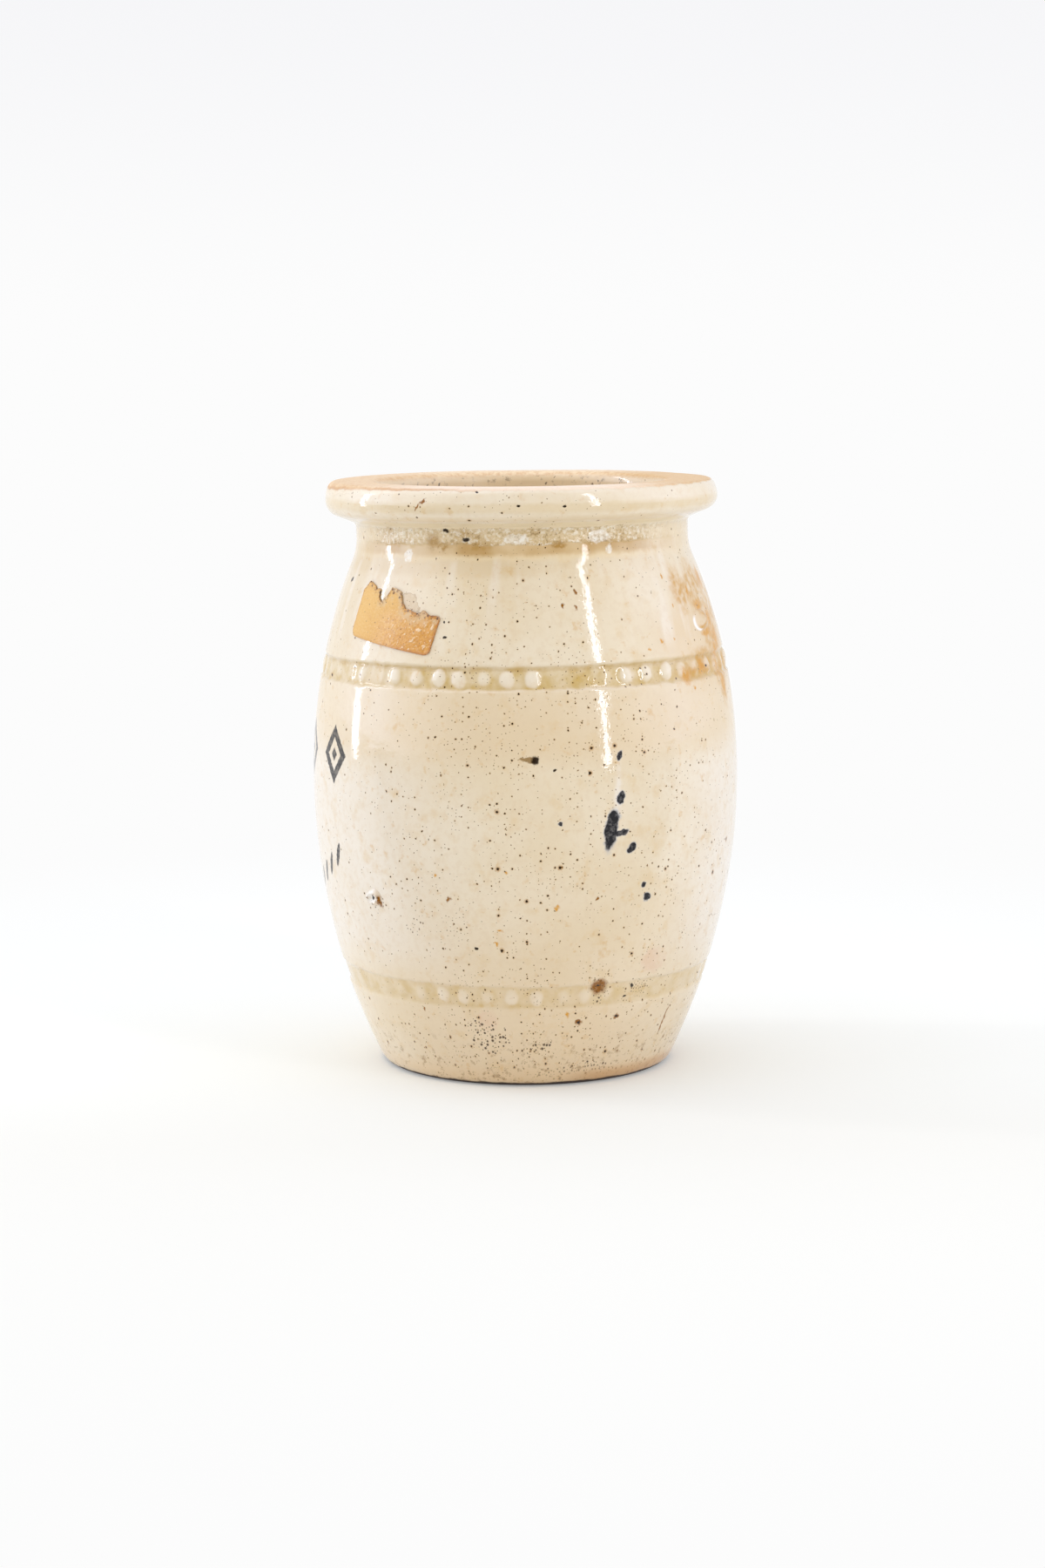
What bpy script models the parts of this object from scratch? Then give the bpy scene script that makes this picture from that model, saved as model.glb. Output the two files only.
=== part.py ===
"""Barrel-shaped stoneware pot with a rolled rim, two beaded bands and the torn remnant of a paper label.

Units are metres, +Z is up and the origin is the centre of the standing ring.
Angles are measured round the pot from the front (-Y), positive towards +X.
"""

import math

import bmesh
import bpy
from mathutils import Matrix, Vector

MM = 0.001

# Barrel: a lower and an upper arc that share an upright tangent at the belly
HEIGHT = 85.0 * MM
BELLY_RADIUS = 30.9 * MM
BELLY_HEIGHT = 42.5 * MM
FOOT_RADIUS = 20.9 * MM
FOOT_ROUNDING = 1.0 * MM

# Neck groove under the rim, where a cover was tied
NECK_RADIUS = 23.95 * MM
NECK_BELOW_TOP = 8.2 * MM
NECK_GROOVE_RADIUS = 8.1 * MM
NECK_CORNER_ROUNDING = 0.4 * MM

# Rolled rim
RIM_RADIUS = 28.25 * MM
RIM_DEPTH = 5.8 * MM
RIM_LOWER_ROUNDING = 3.2 * MM
RIM_UPPER_ROUNDING = 1.6 * MM
LIP_ROUNDING = 2.5 * MM

# Hollow inside
WALL = 4.0 * MM
NECK_WALL = 3.45 * MM
BASE_THICKNESS = 5.0 * MM
INNER_CORNER_ROUNDING = 4.0 * MM

# Shallow hollow under the base, which leaves a flat ring to stand on
HOLLOW_RADIUS = 15.0 * MM
HOLLOW_DEPTH = 0.6 * MM
HOLLOW_SLOPE = 1.5 * MM

# Beaded bands: shallow recesses, each with a ring of raised beads
BAND_DEPTH = 0.40 * MM
BAND_EDGE = 0.30 * MM
UPPER_BAND_HEIGHT = 58.8 * MM
UPPER_BAND_WIDTH = 3.7 * MM
UPPER_BEAD_COUNT = 54
LOWER_BAND_HEIGHT = 13.9 * MM
LOWER_BAND_WIDTH = 3.7 * MM
LOWER_BEAD_COUNT = 48
BEAD_RADIUS = 0.95 * MM
BEAD_RISE = 0.55 * MM
BEAD_PHASE = -3.0  # degrees from the front to the nearest bead

# Paper label: a rectangle with rounded lower corners, torn along its top
LABEL_WIDTH = 15.0 * MM
LABEL_ANGLE = -41.0  # degrees round the pot
LABEL_HEIGHT = 63.0 * MM  # of the middle of its lower edge
LABEL_TILT = -9.0  # degrees, right side down
LABEL_CORNER = 1.8 * MM
LABEL_THICKNESS = 0.25 * MM
LABEL_CLEARANCE = 0.30 * MM
# Torn edge, left to right: distance from the left side as a share of the width, and height of paper left
LABEL_TEAR = (
    (0.00, 6.0 * MM),
    (0.06, 7.6 * MM),
    (0.12, 6.7 * MM),
    (0.25, 6.9 * MM),
    (0.30, 6.3 * MM),
    (0.40, 7.6 * MM),
    (0.50, 7.5 * MM),
    (0.56, 5.9 * MM),
    (0.70, 5.5 * MM),
    (1.00, 5.6 * MM),
)

# Smoothness of the mesh
TURN_STEPS = 56
ARC_STEP = math.radians(30)
WALL_STEP = 7.0 * MM
BEAD_SEGMENTS = 7
BEAD_RINGS = 4
LABEL_COLUMNS = 20
LABEL_ROWS = 4

STONEWARE_COLOUR = (0.74, 0.62, 0.45, 1.0)
PAPER_COLOUR = (0.72, 0.43, 0.15, 1.0)

NECK_HEIGHT = HEIGHT - NECK_BELOW_TOP
RIM_UNDERSIDE = HEIGHT - RIM_DEPTH
MOUTH_RADIUS = NECK_RADIUS - NECK_WALL


def clear_scene():
    for item in list(bpy.data.objects):
        bpy.data.objects.remove(item, do_unlink=True)


def new_collection(name):
    collection = bpy.data.collections.new(name)
    bpy.context.scene.collection.children.link(collection)
    return collection


def new_material(name, colour, roughness):
    material = bpy.data.materials.new(name)
    material.use_nodes = True
    shader = material.node_tree.nodes["Principled BSDF"]
    shader.inputs["Base Color"].default_value = colour
    shader.inputs["Roughness"].default_value = roughness
    shader.inputs["Metallic"].default_value = 0.0
    return material


def lower_curvature():
    """Curvature of the arc that leaves the belly upright and ends at the foot."""
    drop = BELLY_RADIUS - FOOT_RADIUS
    return 2 * drop / (BELLY_HEIGHT**2 + drop**2)


def upper_curvature():
    """Curvature of the arc that leaves the belly upright and runs tangent into the neck groove."""
    rise = NECK_HEIGHT - BELLY_HEIGHT
    inset = NECK_RADIUS + NECK_GROOVE_RADIUS - BELLY_RADIUS
    return 2 * (NECK_GROOVE_RADIUS - inset) / (inset**2 + rise**2 - NECK_GROOVE_RADIUS**2)


def sagitta(curvature, distance):
    """How far an arc of this curvature falls back from its tangent, this far along it."""
    root = math.sqrt(max(0.0, 1 - (curvature * distance) ** 2))
    return curvature * distance**2 / (1 + root)


def groove_start():
    """Height at which the shoulder arc touches the neck groove."""
    share = NECK_GROOVE_RADIUS * upper_curvature()
    return BELLY_HEIGHT + (NECK_HEIGHT - BELLY_HEIGHT) / (1 + share)


def outer_radius(height):
    """Radius of the outside wall, without its bands, from the foot to the underside of the rim."""
    if height > groove_start():
        return NECK_RADIUS + sagitta(1 / NECK_GROOVE_RADIUS, height - NECK_HEIGHT)
    curvature = lower_curvature() if height < BELLY_HEIGHT else upper_curvature()
    return BELLY_RADIUS - sagitta(curvature, height - BELLY_HEIGHT)


def inner_radius(height):
    """Radius of the inside wall, which follows the barrel up to the straight mouth."""
    barrel = outer_radius(min(height, groove_start())) - WALL
    return barrel if height < BELLY_HEIGHT else max(barrel, MOUTH_RADIUS)


def wall_normal(height):
    """Outward normal of the outside wall, as its radial and upward parts."""
    step = 0.01 * MM
    slope = (outer_radius(height + step) - outer_radius(height - step)) / (2 * step)
    return Vector((1.0, -slope)).normalized()


def wall_run(low, high, radius_at):
    """Points up a wall from one height to another, both included, at an even spacing."""
    count = max(1, math.ceil(abs(high - low) / WALL_STEP))
    heights = [low + (high - low) * i / count for i in range(count + 1)]
    return [(radius_at(height), height, 0.0) for height in heights]


def band_corners(middle, width):
    """Outline of one recessed band, top to bottom."""
    top = middle + width / 2
    bottom = middle - width / 2
    return [
        (outer_radius(top), top, 0.0),
        (outer_radius(top - BAND_EDGE) - BAND_DEPTH, top - BAND_EDGE, 0.0),
        (outer_radius(bottom + BAND_EDGE) - BAND_DEPTH, bottom + BAND_EDGE, 0.0),
        (outer_radius(bottom), bottom, 0.0),
    ]


def rounded(corners):
    """An outline with each corner (radius, height, rounding) replaced by an arc where it has a rounding."""
    points = []
    for index, (x, z, rounding) in enumerate(corners):
        here = Vector((x, z))
        if rounding == 0.0:
            points.append(here)
            continue
        before = (Vector(corners[index - 1][:2]) - here).normalized()
        after = (Vector(corners[index + 1][:2]) - here).normalized()
        half = before.angle(after) / 2
        centre = here + (before + after).normalized() * rounding / math.sin(half)
        start = here + before * rounding / math.tan(half) - centre
        sweep = start.angle_signed(here + after * rounding / math.tan(half) - centre)
        steps = max(2, math.ceil(abs(sweep) / ARC_STEP))
        for step in range(steps + 1):
            points.append(centre + Matrix.Rotation(-sweep * step / steps, 2) @ start)
    return points


def pot_outline():
    """Half section of the pot, from the middle of the floor, up the inside, over the rim and down the outside."""
    floor_radius = inner_radius(BASE_THICKNESS)
    inner_low = BASE_THICKNESS + INNER_CORNER_ROUNDING
    upper_top = UPPER_BAND_HEIGHT + UPPER_BAND_WIDTH / 2
    upper_bottom = UPPER_BAND_HEIGHT - UPPER_BAND_WIDTH / 2
    lower_top = LOWER_BAND_HEIGHT + LOWER_BAND_WIDTH / 2
    lower_bottom = LOWER_BAND_HEIGHT - LOWER_BAND_WIDTH / 2
    inside = [(0.0, BASE_THICKNESS, 0.0), (floor_radius, BASE_THICKNESS, INNER_CORNER_ROUNDING)]
    inside += wall_run(inner_low + WALL_STEP / 2, groove_start(), inner_radius)
    rim = [
        (MOUTH_RADIUS, HEIGHT, LIP_ROUNDING),
        (RIM_RADIUS, HEIGHT, RIM_UPPER_ROUNDING),
        (RIM_RADIUS, RIM_UNDERSIDE, RIM_LOWER_ROUNDING),
        (outer_radius(RIM_UNDERSIDE), RIM_UNDERSIDE, NECK_CORNER_ROUNDING),
    ]
    neck = wall_run(NECK_HEIGHT, groove_start(), outer_radius)
    shoulder = wall_run(groove_start(), upper_top, outer_radius)[1:-1]
    belly = wall_run(upper_bottom, lower_top, outer_radius)[1:-1]
    outside = neck + shoulder + band_corners(UPPER_BAND_HEIGHT, UPPER_BAND_WIDTH)
    outside += belly + band_corners(LOWER_BAND_HEIGHT, LOWER_BAND_WIDTH)
    outside += wall_run(lower_bottom, FOOT_ROUNDING * 2, outer_radius)[1:]
    base = [
        (FOOT_RADIUS, 0.0, FOOT_ROUNDING),
        (HOLLOW_RADIUS, 0.0, 0.0),
        (HOLLOW_RADIUS - HOLLOW_SLOPE, HOLLOW_DEPTH, 0.0),
        (0.0, HOLLOW_DEPTH, 0.0),
    ]
    return rounded(inside + rim + outside + base)


def make_bead(mesh, angle, height):
    """Adds one bead: a flattened ball whose middle lies in the floor of its band."""
    across, up = wall_normal(height)
    turn = math.radians(angle)
    outward = Vector((across * math.sin(turn), -across * math.cos(turn), up))
    floor = outer_radius(height) - BAND_DEPTH
    place = Vector((floor * math.sin(turn), -floor * math.cos(turn), height))
    facing = outward.to_track_quat("Z", "Y").to_matrix().to_4x4()
    shape = Matrix.Diagonal((BEAD_RADIUS, BEAD_RADIUS, BEAD_RISE, 1.0))
    bmesh.ops.create_uvsphere(
        mesh,
        u_segments=BEAD_SEGMENTS,
        v_segments=BEAD_RINGS,
        radius=1.0,
        matrix=Matrix.Translation(place) @ facing @ shape,
    )


def make_beads(helpers):
    """Both rings of beads as one hidden helper, which is joined to the pot."""
    mesh = bmesh.new()
    for height, count in ((UPPER_BAND_HEIGHT, UPPER_BEAD_COUNT), (LOWER_BAND_HEIGHT, LOWER_BEAD_COUNT)):
        for index in range(count):
            make_bead(mesh, BEAD_PHASE + 360.0 * index / count, height)
    data = bpy.data.meshes.new("bead_rings")
    mesh.to_mesh(data)
    mesh.free()
    beads = bpy.data.objects.new("bead_rings", data)
    beads.hide_render = True
    beads.display_type = "WIRE"
    helpers.objects.link(beads)
    return beads


def make_pot(parts, beads, frame):
    """The stoneware pot: the outline turned about Z, with the beads joined to its bands."""
    outline = pot_outline()
    data = bpy.data.meshes.new("pot_body")
    edges = [(i, i + 1) for i in range(len(outline) - 1)]
    data.from_pydata([(point.x, 0.0, point.y) for point in outline], edges, [])
    pot = bpy.data.objects.new("pot_body", data)
    parts.objects.link(pot)
    pot.parent = frame
    turn = pot.modifiers.new("turn", "SCREW")
    turn.axis = "Z"
    turn.angle = 2 * math.pi
    turn.steps = TURN_STEPS
    turn.render_steps = TURN_STEPS
    turn.use_merge_vertices = True
    turn.merge_threshold = 0.01 * MM
    turn.use_smooth_shade = True
    join = pot.modifiers.new("beads", "BOOLEAN")
    join.operation = "UNION"
    join.solver = "EXACT"
    join.object = beads
    data.materials.append(new_material("stoneware", STONEWARE_COLOUR, 0.2))
    return pot


def torn_height(share):
    """Height of paper left at a share of the label's width, along straight runs between the tear's points."""
    for (left, low), (right, high) in zip(LABEL_TEAR, LABEL_TEAR[1:]):
        if share <= right:
            return low + (high - low) * (share - left) / (right - left)
    return LABEL_TEAR[-1][1]


def lower_edge(distance):
    """Height of the label's lower edge, this far from its nearer side: zero but for the rounded corner."""
    inside = max(0.0, LABEL_CORNER - distance)
    return LABEL_CORNER - math.sqrt(LABEL_CORNER**2 - inside**2)


def on_shoulder(across, along):
    """A point of the label, given by its distances across and up the paper, laid just clear of the wall."""
    tilt = math.radians(LABEL_TILT)
    sideways = across * math.cos(tilt) - along * math.sin(tilt)
    upward = across * math.sin(tilt) + along * math.cos(tilt)
    height = LABEL_HEIGHT + upward * wall_normal(LABEL_HEIGHT).x
    out, lift = wall_normal(height) * LABEL_CLEARANCE
    turn = math.radians(LABEL_ANGLE) + sideways / outer_radius(LABEL_HEIGHT)
    radius = outer_radius(height) + out
    return Vector((radius * math.sin(turn), -radius * math.cos(turn), height + lift))


def make_label(parts, frame):
    """The paper label: a grid fitted between its lower edge and its tear, laid on the shoulder and thickened."""
    mesh = bmesh.new()
    bmesh.ops.create_grid(mesh, x_segments=LABEL_COLUMNS, y_segments=LABEL_ROWS, size=0.5)
    for vertex in mesh.verts:
        share = vertex.co.x + 0.5
        low = lower_edge(min(share, 1 - share) * LABEL_WIDTH)
        along = low + (torn_height(share) - low) * (vertex.co.y + 0.5)
        vertex.co = on_shoulder(vertex.co.x * LABEL_WIDTH, along)
    data = bpy.data.meshes.new("paper_label")
    mesh.to_mesh(data)
    mesh.free()
    label = bpy.data.objects.new("paper_label", data)
    parts.objects.link(label)
    label.parent = frame
    thicken = label.modifiers.new("paper", "SOLIDIFY")
    thicken.thickness = LABEL_THICKNESS
    thicken.offset = 1.0
    data.shade_smooth()
    data.materials.append(new_material("paper", PAPER_COLOUR, 0.7))
    return label


def main():
    clear_scene()
    parts = new_collection("stoneware_pot")
    helpers = new_collection("helpers")
    frame = bpy.data.objects.new("pot_frame", None)
    parts.objects.link(frame)
    make_pot(parts, make_beads(helpers), frame)
    make_label(parts, frame)


main()
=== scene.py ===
"""Looks of a small stoneware pot: glazed surface, torn paper label, inked ornament, light and camera.

Lengths are in metres, and in millimetres where a value is multiplied by MM or a comment says so. A turn is an
angle in degrees round the pot from the front (-Y), positive towards +X.
"""

import math

import bpy
import numpy as np
from mathutils import Matrix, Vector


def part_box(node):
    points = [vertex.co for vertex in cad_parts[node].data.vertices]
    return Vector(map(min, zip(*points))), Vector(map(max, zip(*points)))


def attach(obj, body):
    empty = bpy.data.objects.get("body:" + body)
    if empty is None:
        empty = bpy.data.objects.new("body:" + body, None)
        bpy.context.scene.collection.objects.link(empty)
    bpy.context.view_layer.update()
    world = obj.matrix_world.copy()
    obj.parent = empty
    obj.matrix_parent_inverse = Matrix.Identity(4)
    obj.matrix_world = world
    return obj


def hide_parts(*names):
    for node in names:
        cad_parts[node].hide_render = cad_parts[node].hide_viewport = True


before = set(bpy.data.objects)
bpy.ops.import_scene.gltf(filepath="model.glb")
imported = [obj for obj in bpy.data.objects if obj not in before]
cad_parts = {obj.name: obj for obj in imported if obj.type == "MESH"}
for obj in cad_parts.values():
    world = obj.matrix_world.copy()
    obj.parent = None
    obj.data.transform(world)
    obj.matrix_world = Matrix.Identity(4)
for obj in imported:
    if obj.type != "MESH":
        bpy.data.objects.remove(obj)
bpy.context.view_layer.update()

MM = 0.001

# Section of the pot
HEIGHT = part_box("pot_body")[1][2]
BELLY_RADIUS = 30.9 * MM
BELLY_HEIGHT = 42.5 * MM
FOOT_RADIUS = 20.9 * MM
FOOT_ROUNDING = 1.3 * MM
HOLLOW_RADIUS = 15.0 * MM
HOLLOW_DEPTH = 0.6 * MM
HOLLOW_SLOPE = 1.5 * MM
NECK_RADIUS = 23.95 * MM
NECK_HEIGHT = 76.8 * MM
GROOVE_RADIUS = 8.1 * MM
FILLET_ROUNDING = 1.0 * MM
UNDERSIDE_SLOPE = 22.0
RIM_RADIUS = 28.25 * MM
RIM_EQUATOR = 82.3 * MM
RIM_LOWER_ROUNDING = 2.3 * MM
RIM_FACE_ROUNDING = 4.9 * MM
RIM_FACE_TILT = 23.0
LIP_ROUNDING = 1.5 * MM
MOUTH_RADIUS = 20.5 * MM
WALL = 4.0 * MM
FLOOR_HEIGHT = 5.0 * MM
FLOOR_ROUNDING = 5.0 * MM

# What follows from the section: the arcs of the barrel below and above the belly, and where the neck begins
LOWER_CURVATURE = 2 * (BELLY_RADIUS - FOOT_RADIUS) / (BELLY_HEIGHT**2 + (BELLY_RADIUS - FOOT_RADIUS) ** 2)
NECK_RISE = NECK_HEIGHT - BELLY_HEIGHT
NECK_INSET = NECK_RADIUS + GROOVE_RADIUS - BELLY_RADIUS
UPPER_CURVATURE = 2 * (GROOVE_RADIUS - NECK_INSET) / (NECK_INSET**2 + NECK_RISE**2 - GROOVE_RADIUS**2)
GROOVE_START = BELLY_HEIGHT + NECK_RISE / (1 + GROOVE_RADIUS * UPPER_CURVATURE)

# Warp of the fired clay: the upper half leans and dips towards -X, and the rim's top was pressed level again,
# a little lower at the front
LEAN = -0.42 * MM
DIP = math.tan(math.radians(0.9))
LEVELLED_FROM = 79.5 * MM
LEVELLED_ACROSS = math.tan(math.radians(-0.6))
LEVELLED_BACK = math.tan(math.radians(0.43))
LEVELLED_DROP = 0.19 * MM

# Relief of the glaze, rises in millimetres: waves of the wall, runs down the shoulder, crystals in the neck
WAVE_RISE = 0.05
WAVE_SIZE = 16 * MM
RIPPLE_RISE = 0.02
RIPPLE_SIZE = 5 * MM
RUN_RISE = 0.045
RUN_WIDTH = 2.6 * MM
RUNS_LOW = 62 * MM
RUNS_HIGH = 76 * MM
RUNS_FADE_IN = 9 * MM
RUNS_FADE_OUT = 2 * MM
CRYSTAL_RISE = 0.10
CRYSTAL_SIZE = 0.62 * MM
CRYSTALS_LOW = 76.5 * MM
CRYSTALS_HIGH = 79.0 * MM
CRYSTALS_TURN = 60

# Lumps on the wall: how deep the edges of the dome and of the bowl under it are sunk, and the bowl's depth
LUMP_SUNK = 0.04 * MM
BOWL_SUNK = 0.06 * MM
BOWL_DEPTH = 0.3 * MM

# Beaded bands, with the stretches (turn, half width in degrees, amount) where the beads are worn
BAND_WIDTH = 3.65 * MM
BAND_EDGE = 0.5 * MM
BAND_RAGGED = 0.12 * MM
BAND_MARGIN = 0.3 * MM
BEAD_HALF_WIDTH = 1.30 * MM
BEAD_HALF_HEIGHT = 1.5 * MM
BEAD_PHASE = -4.4
UPPER_BAND = {"height": 58.8 * MM, "count": 54, "depth": 0.36 * MM, "rise": 0.44 * MM,
              "worn": [(15.5, 9.5, 0.9), (-46.5, 4.5, 0.9), (-66.0, 15.0, 0.6)]}
LOWER_BAND = {"height": 13.9 * MM, "count": 48, "depth": 0.24 * MM, "rise": 0.28 * MM,
              "worn": [(46.0, 24.0, 0.9), (-75.0, 34.0, 0.9)]}

# Unrolled map of the wall: across is turn times belly radius, up is distance along the outline
MAP_SPAN = 0.26
COLUMNS = 580

# Label, in its own frame in millimetres: across from its middle, up from its lower edge
LABEL_TURN = -43.0
LABEL_HEIGHT = 62.65
LABEL_TILT = -8.0
LABEL_LEFT = -8.1
LABEL_RIGHT = 7.85
LABEL_LOW = 0.15
LABEL_CORNER = 0.95
LABEL_TEAR = [(-8.1, 6.6), (-7.05, 8.3), (-6.1, 7.9), (-4.1, 7.5), (-3.9, 6.5), (-3.05, 6.0), (-2.2, 7.0),
              (-1.75, 8.2), (-0.6, 8.2), (0.1, 7.9), (0.95, 6.4), (3.1, 5.55), (4.9, 5.95), (7.85, 5.5)]
# Places of painted highlights on the label, where small raised crumbs glint
LABEL_GLINTS = [(1.4, 1.2), (3.5, 1.0), (4.4, 2.65), (4.0, 4.4), (6.75, 3.4), (7.3, 5.0), (7.0, 1.6),
                (2.6, 4.2), (-0.2, 2.4), (5.4, 1.5), (3.1, 2.5), (5.2, 3.7)]
LABEL_FIBRES = [(-6.9, 8.2), (-6.3, 7.7), (-4.1, 7.2), (-3.3, 6.2), (-2.8, 6.5), (-1.65, 8.0), (-1.2, 7.6),
                (0.2, 7.2), (2.4, 5.7), (4.1, 5.6), (5.9, 5.6), (7.5, 5.4)]
LABEL_GAP = 0.05
CRUMPLE_RISE = 0.026
CRUMB_RISE = 0.06
CURL_RISE = 0.10
CURL_REACH = 1.2
LABEL_SPAN = 20.0
LABEL_THICKNESS = 0.12 * MM

# Ornament: a row of lozenges and a bowed row of drops, from the last one leftwards; sizes in millimetres
ORNAMENT_END = -61.5
LOZENGE_HEIGHT = 47.0
LOZENGE_PITCH = 10.8
LOZENGE_COUNT = 6
LOZENGE_HALF_WIDTH = 3.4
LOZENGE_HALF_HEIGHT = 4.3
DROP_HEIGHT = 24.6
DROP_BOW = 8.0
DROP_PITCH = 3.0
DROP_HALF_WIDTH = 0.62
DROP_HALF_HEIGHT = 1.5
DROP_SLANT = 0.35


def srgb(red, green, blue):
    """A linear colour from display values of 0 to 255."""
    shares = np.array((red, green, blue)) / 255
    linear = np.where(shares <= 0.04045, shares / 12.92, ((shares + 0.055) / 1.055) ** 2.4)
    return (*map(float, linear), 1.0)


def smooth(value):
    """Smooth step: 0 below 0, 1 above 1, and 3v^2 - 2v^3 between."""
    share = np.clip(value, 0, 1)
    return share * share * (3 - 2 * share)


def sagitta(curvature, distance):
    """How far an arc of this curvature falls back from its tangent, this far along it."""
    root = np.sqrt(np.maximum(0, 1 - (curvature * distance) ** 2))
    return curvature * distance**2 / (1 + root)


def outer_radius(height):
    """Outside wall: two arcs that share an upright tangent at the belly, a hollow arc and an upright neck."""
    height = np.asarray(height, float)
    curvature = np.where(height < BELLY_HEIGHT, LOWER_CURVATURE, UPPER_CURVATURE)
    barrel = BELLY_RADIUS - sagitta(curvature, height - BELLY_HEIGHT)
    neck = NECK_RADIUS + sagitta(1 / GROOVE_RADIUS, np.minimum(height, NECK_HEIGHT) - NECK_HEIGHT)
    return np.where(height > GROOVE_START, neck, barrel)


def inner_radius(height):
    """Inside wall: the barrel less the wall's thickness, and a straight mouth."""
    barrel = outer_radius(np.minimum(height, GROOVE_START)) - WALL
    return np.where(np.asarray(height) < BELLY_HEIGHT, barrel, np.maximum(barrel, MOUTH_RADIUS))


def arc(centre, radius, start, end, count):
    """Points (radius, height) on an arc; its angle is in degrees from straight up, positive outwards."""
    angle = np.radians(np.linspace(start, end, count))
    return np.stack([centre[0] + radius * np.sin(angle), centre[1] + radius * np.cos(angle)], 1)


def run(start, end, count):
    """Points (radius, height) along a straight line."""
    share = np.linspace(0, 1, count)[:, None]
    return np.array(start) * (1 - share) + np.array(end) * share


def bend(start, corner, end, count):
    """Points (radius, height) on a quadratic curve that leaves and ends along the sides of a corner."""
    share = np.linspace(0, 1, count)[:, None]
    first = np.array(start) * (1 - share) ** 2
    return first + np.array(corner) * 2 * share * (1 - share) + np.array(end) * share**2


def wall(radius_at, low, high, count):
    """Points (radius, height) on a wall between two heights."""
    heights = np.linspace(low, high, count)
    return np.stack([radius_at(heights), heights], 1)


def rim_outline():
    """The rim from the neck over to the mouth: a fillet, a sloped underside, a round face and a flat top.

    A straight underside joins the hollow fillet to the round lower edge, with both along its slope. The face
    bulges from the rim's widest place until it is tilted back, and a tighter arc turns it into the top.
    """
    slope, tilt = math.radians(UNDERSIDE_SLOPE), math.radians(RIM_FACE_TILT)
    fillet_x = NECK_RADIUS + FILLET_ROUNDING
    lower_x = RIM_RADIUS - RIM_LOWER_ROUNDING
    reach = FILLET_ROUNDING + RIM_LOWER_ROUNDING
    length = (lower_x - fillet_x + reach * math.sin(slope)) / math.cos(slope)
    fillet_z = RIM_EQUATOR - reach * math.cos(slope) - length * math.sin(slope)
    top = HEIGHT - RIM_EQUATOR
    upper = (top - RIM_FACE_ROUNDING * math.sin(tilt)) / (1 - math.sin(tilt))
    face_x = RIM_RADIUS - RIM_FACE_ROUNDING
    upper_x = face_x + (RIM_FACE_ROUNDING - upper) * math.cos(tilt)
    lip_x = MOUTH_RADIUS + LIP_ROUNDING
    fillet = arc((fillet_x, fillet_z), FILLET_ROUNDING, -90, -UNDERSIDE_SLOPE, 7)
    lower = arc((lower_x, RIM_EQUATOR), RIM_LOWER_ROUNDING, 180 - UNDERSIDE_SLOPE, 90, 10)
    return [
        wall(outer_radius, NECK_HEIGHT, fillet_z, 8)[1:-1],
        fillet,
        run(fillet[-1], lower[0], 5)[1:-1],
        lower,
        arc((face_x, RIM_EQUATOR), RIM_FACE_ROUNDING, 90, 90 - RIM_FACE_TILT, 7)[1:],
        arc((upper_x, HEIGHT - upper), upper, 90 - RIM_FACE_TILT, 0, 7)[1:],
        run((upper_x, HEIGHT), (lip_x, HEIGHT), 5)[1:],
        arc((lip_x, HEIGHT - LIP_ROUNDING), LIP_ROUNDING, 0, -90, 7)[1:],
        wall(inner_radius, HEIGHT - LIP_ROUNDING, GROOVE_START, 4)[1:],
    ]


def pot_outline():
    """The half section from under the base, up the outside, over the rim and down the inside to the floor.

    Returns the points, the unit normals that point out of the clay, and the distance of each point along
    the outline from the top of the foot's rounding.
    """
    half_band = BAND_WIDTH / 2 + BAND_MARGIN
    lower, upper = LOWER_BAND["height"], UPPER_BAND["height"]
    foot_start = FOOT_RADIUS - FOOT_ROUNDING
    floor_edge = float(inner_radius(FLOOR_HEIGHT))
    floor_start = floor_edge - FLOOR_ROUNDING
    floor_top = FLOOR_HEIGHT + FLOOR_ROUNDING
    floor_wall = (inner_radius(floor_top), floor_top)
    stretches = [
        run((0, HOLLOW_DEPTH), (HOLLOW_RADIUS - HOLLOW_SLOPE, HOLLOW_DEPTH), 3),
        run((HOLLOW_RADIUS, 0), (foot_start, 0), 3),
        bend((foot_start, 0), (FOOT_RADIUS, 0), (outer_radius(FOOT_ROUNDING), FOOT_ROUNDING), 7)[1:],
        wall(outer_radius, FOOT_ROUNDING, lower - half_band, 8)[1:],
        wall(outer_radius, lower - half_band, lower + half_band, 20)[1:],
        wall(outer_radius, lower + half_band, upper - half_band, 17)[1:],
        wall(outer_radius, upper - half_band, upper + half_band, 22)[1:],
        wall(outer_radius, upper + half_band, GROOVE_START, 13)[1:],
        wall(outer_radius, GROOVE_START, NECK_HEIGHT, 8)[1:],
        *rim_outline(),
        wall(inner_radius, GROOVE_START, floor_top, 10)[1:],
        bend(floor_wall, (floor_edge, FLOOR_HEIGHT), (floor_start, FLOOR_HEIGHT), 6)[1:],
        run((floor_start, FLOOR_HEIGHT), (0, FLOOR_HEIGHT), 4)[1:],
    ]
    points = np.concatenate(stretches)
    along = np.concatenate([[0], np.cumsum(np.linalg.norm(np.diff(points, axis=0), axis=1))])
    tangent = np.gradient(points, along, axis=0)
    normal = np.stack([tangent[:, 1], -tangent[:, 0]], 1)
    normal /= np.linalg.norm(normal, axis=1, keepdims=True)
    foot = int(np.argmax(points[:, 1] >= FOOT_ROUNDING))
    return points, normal, along - along[foot]


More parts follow.
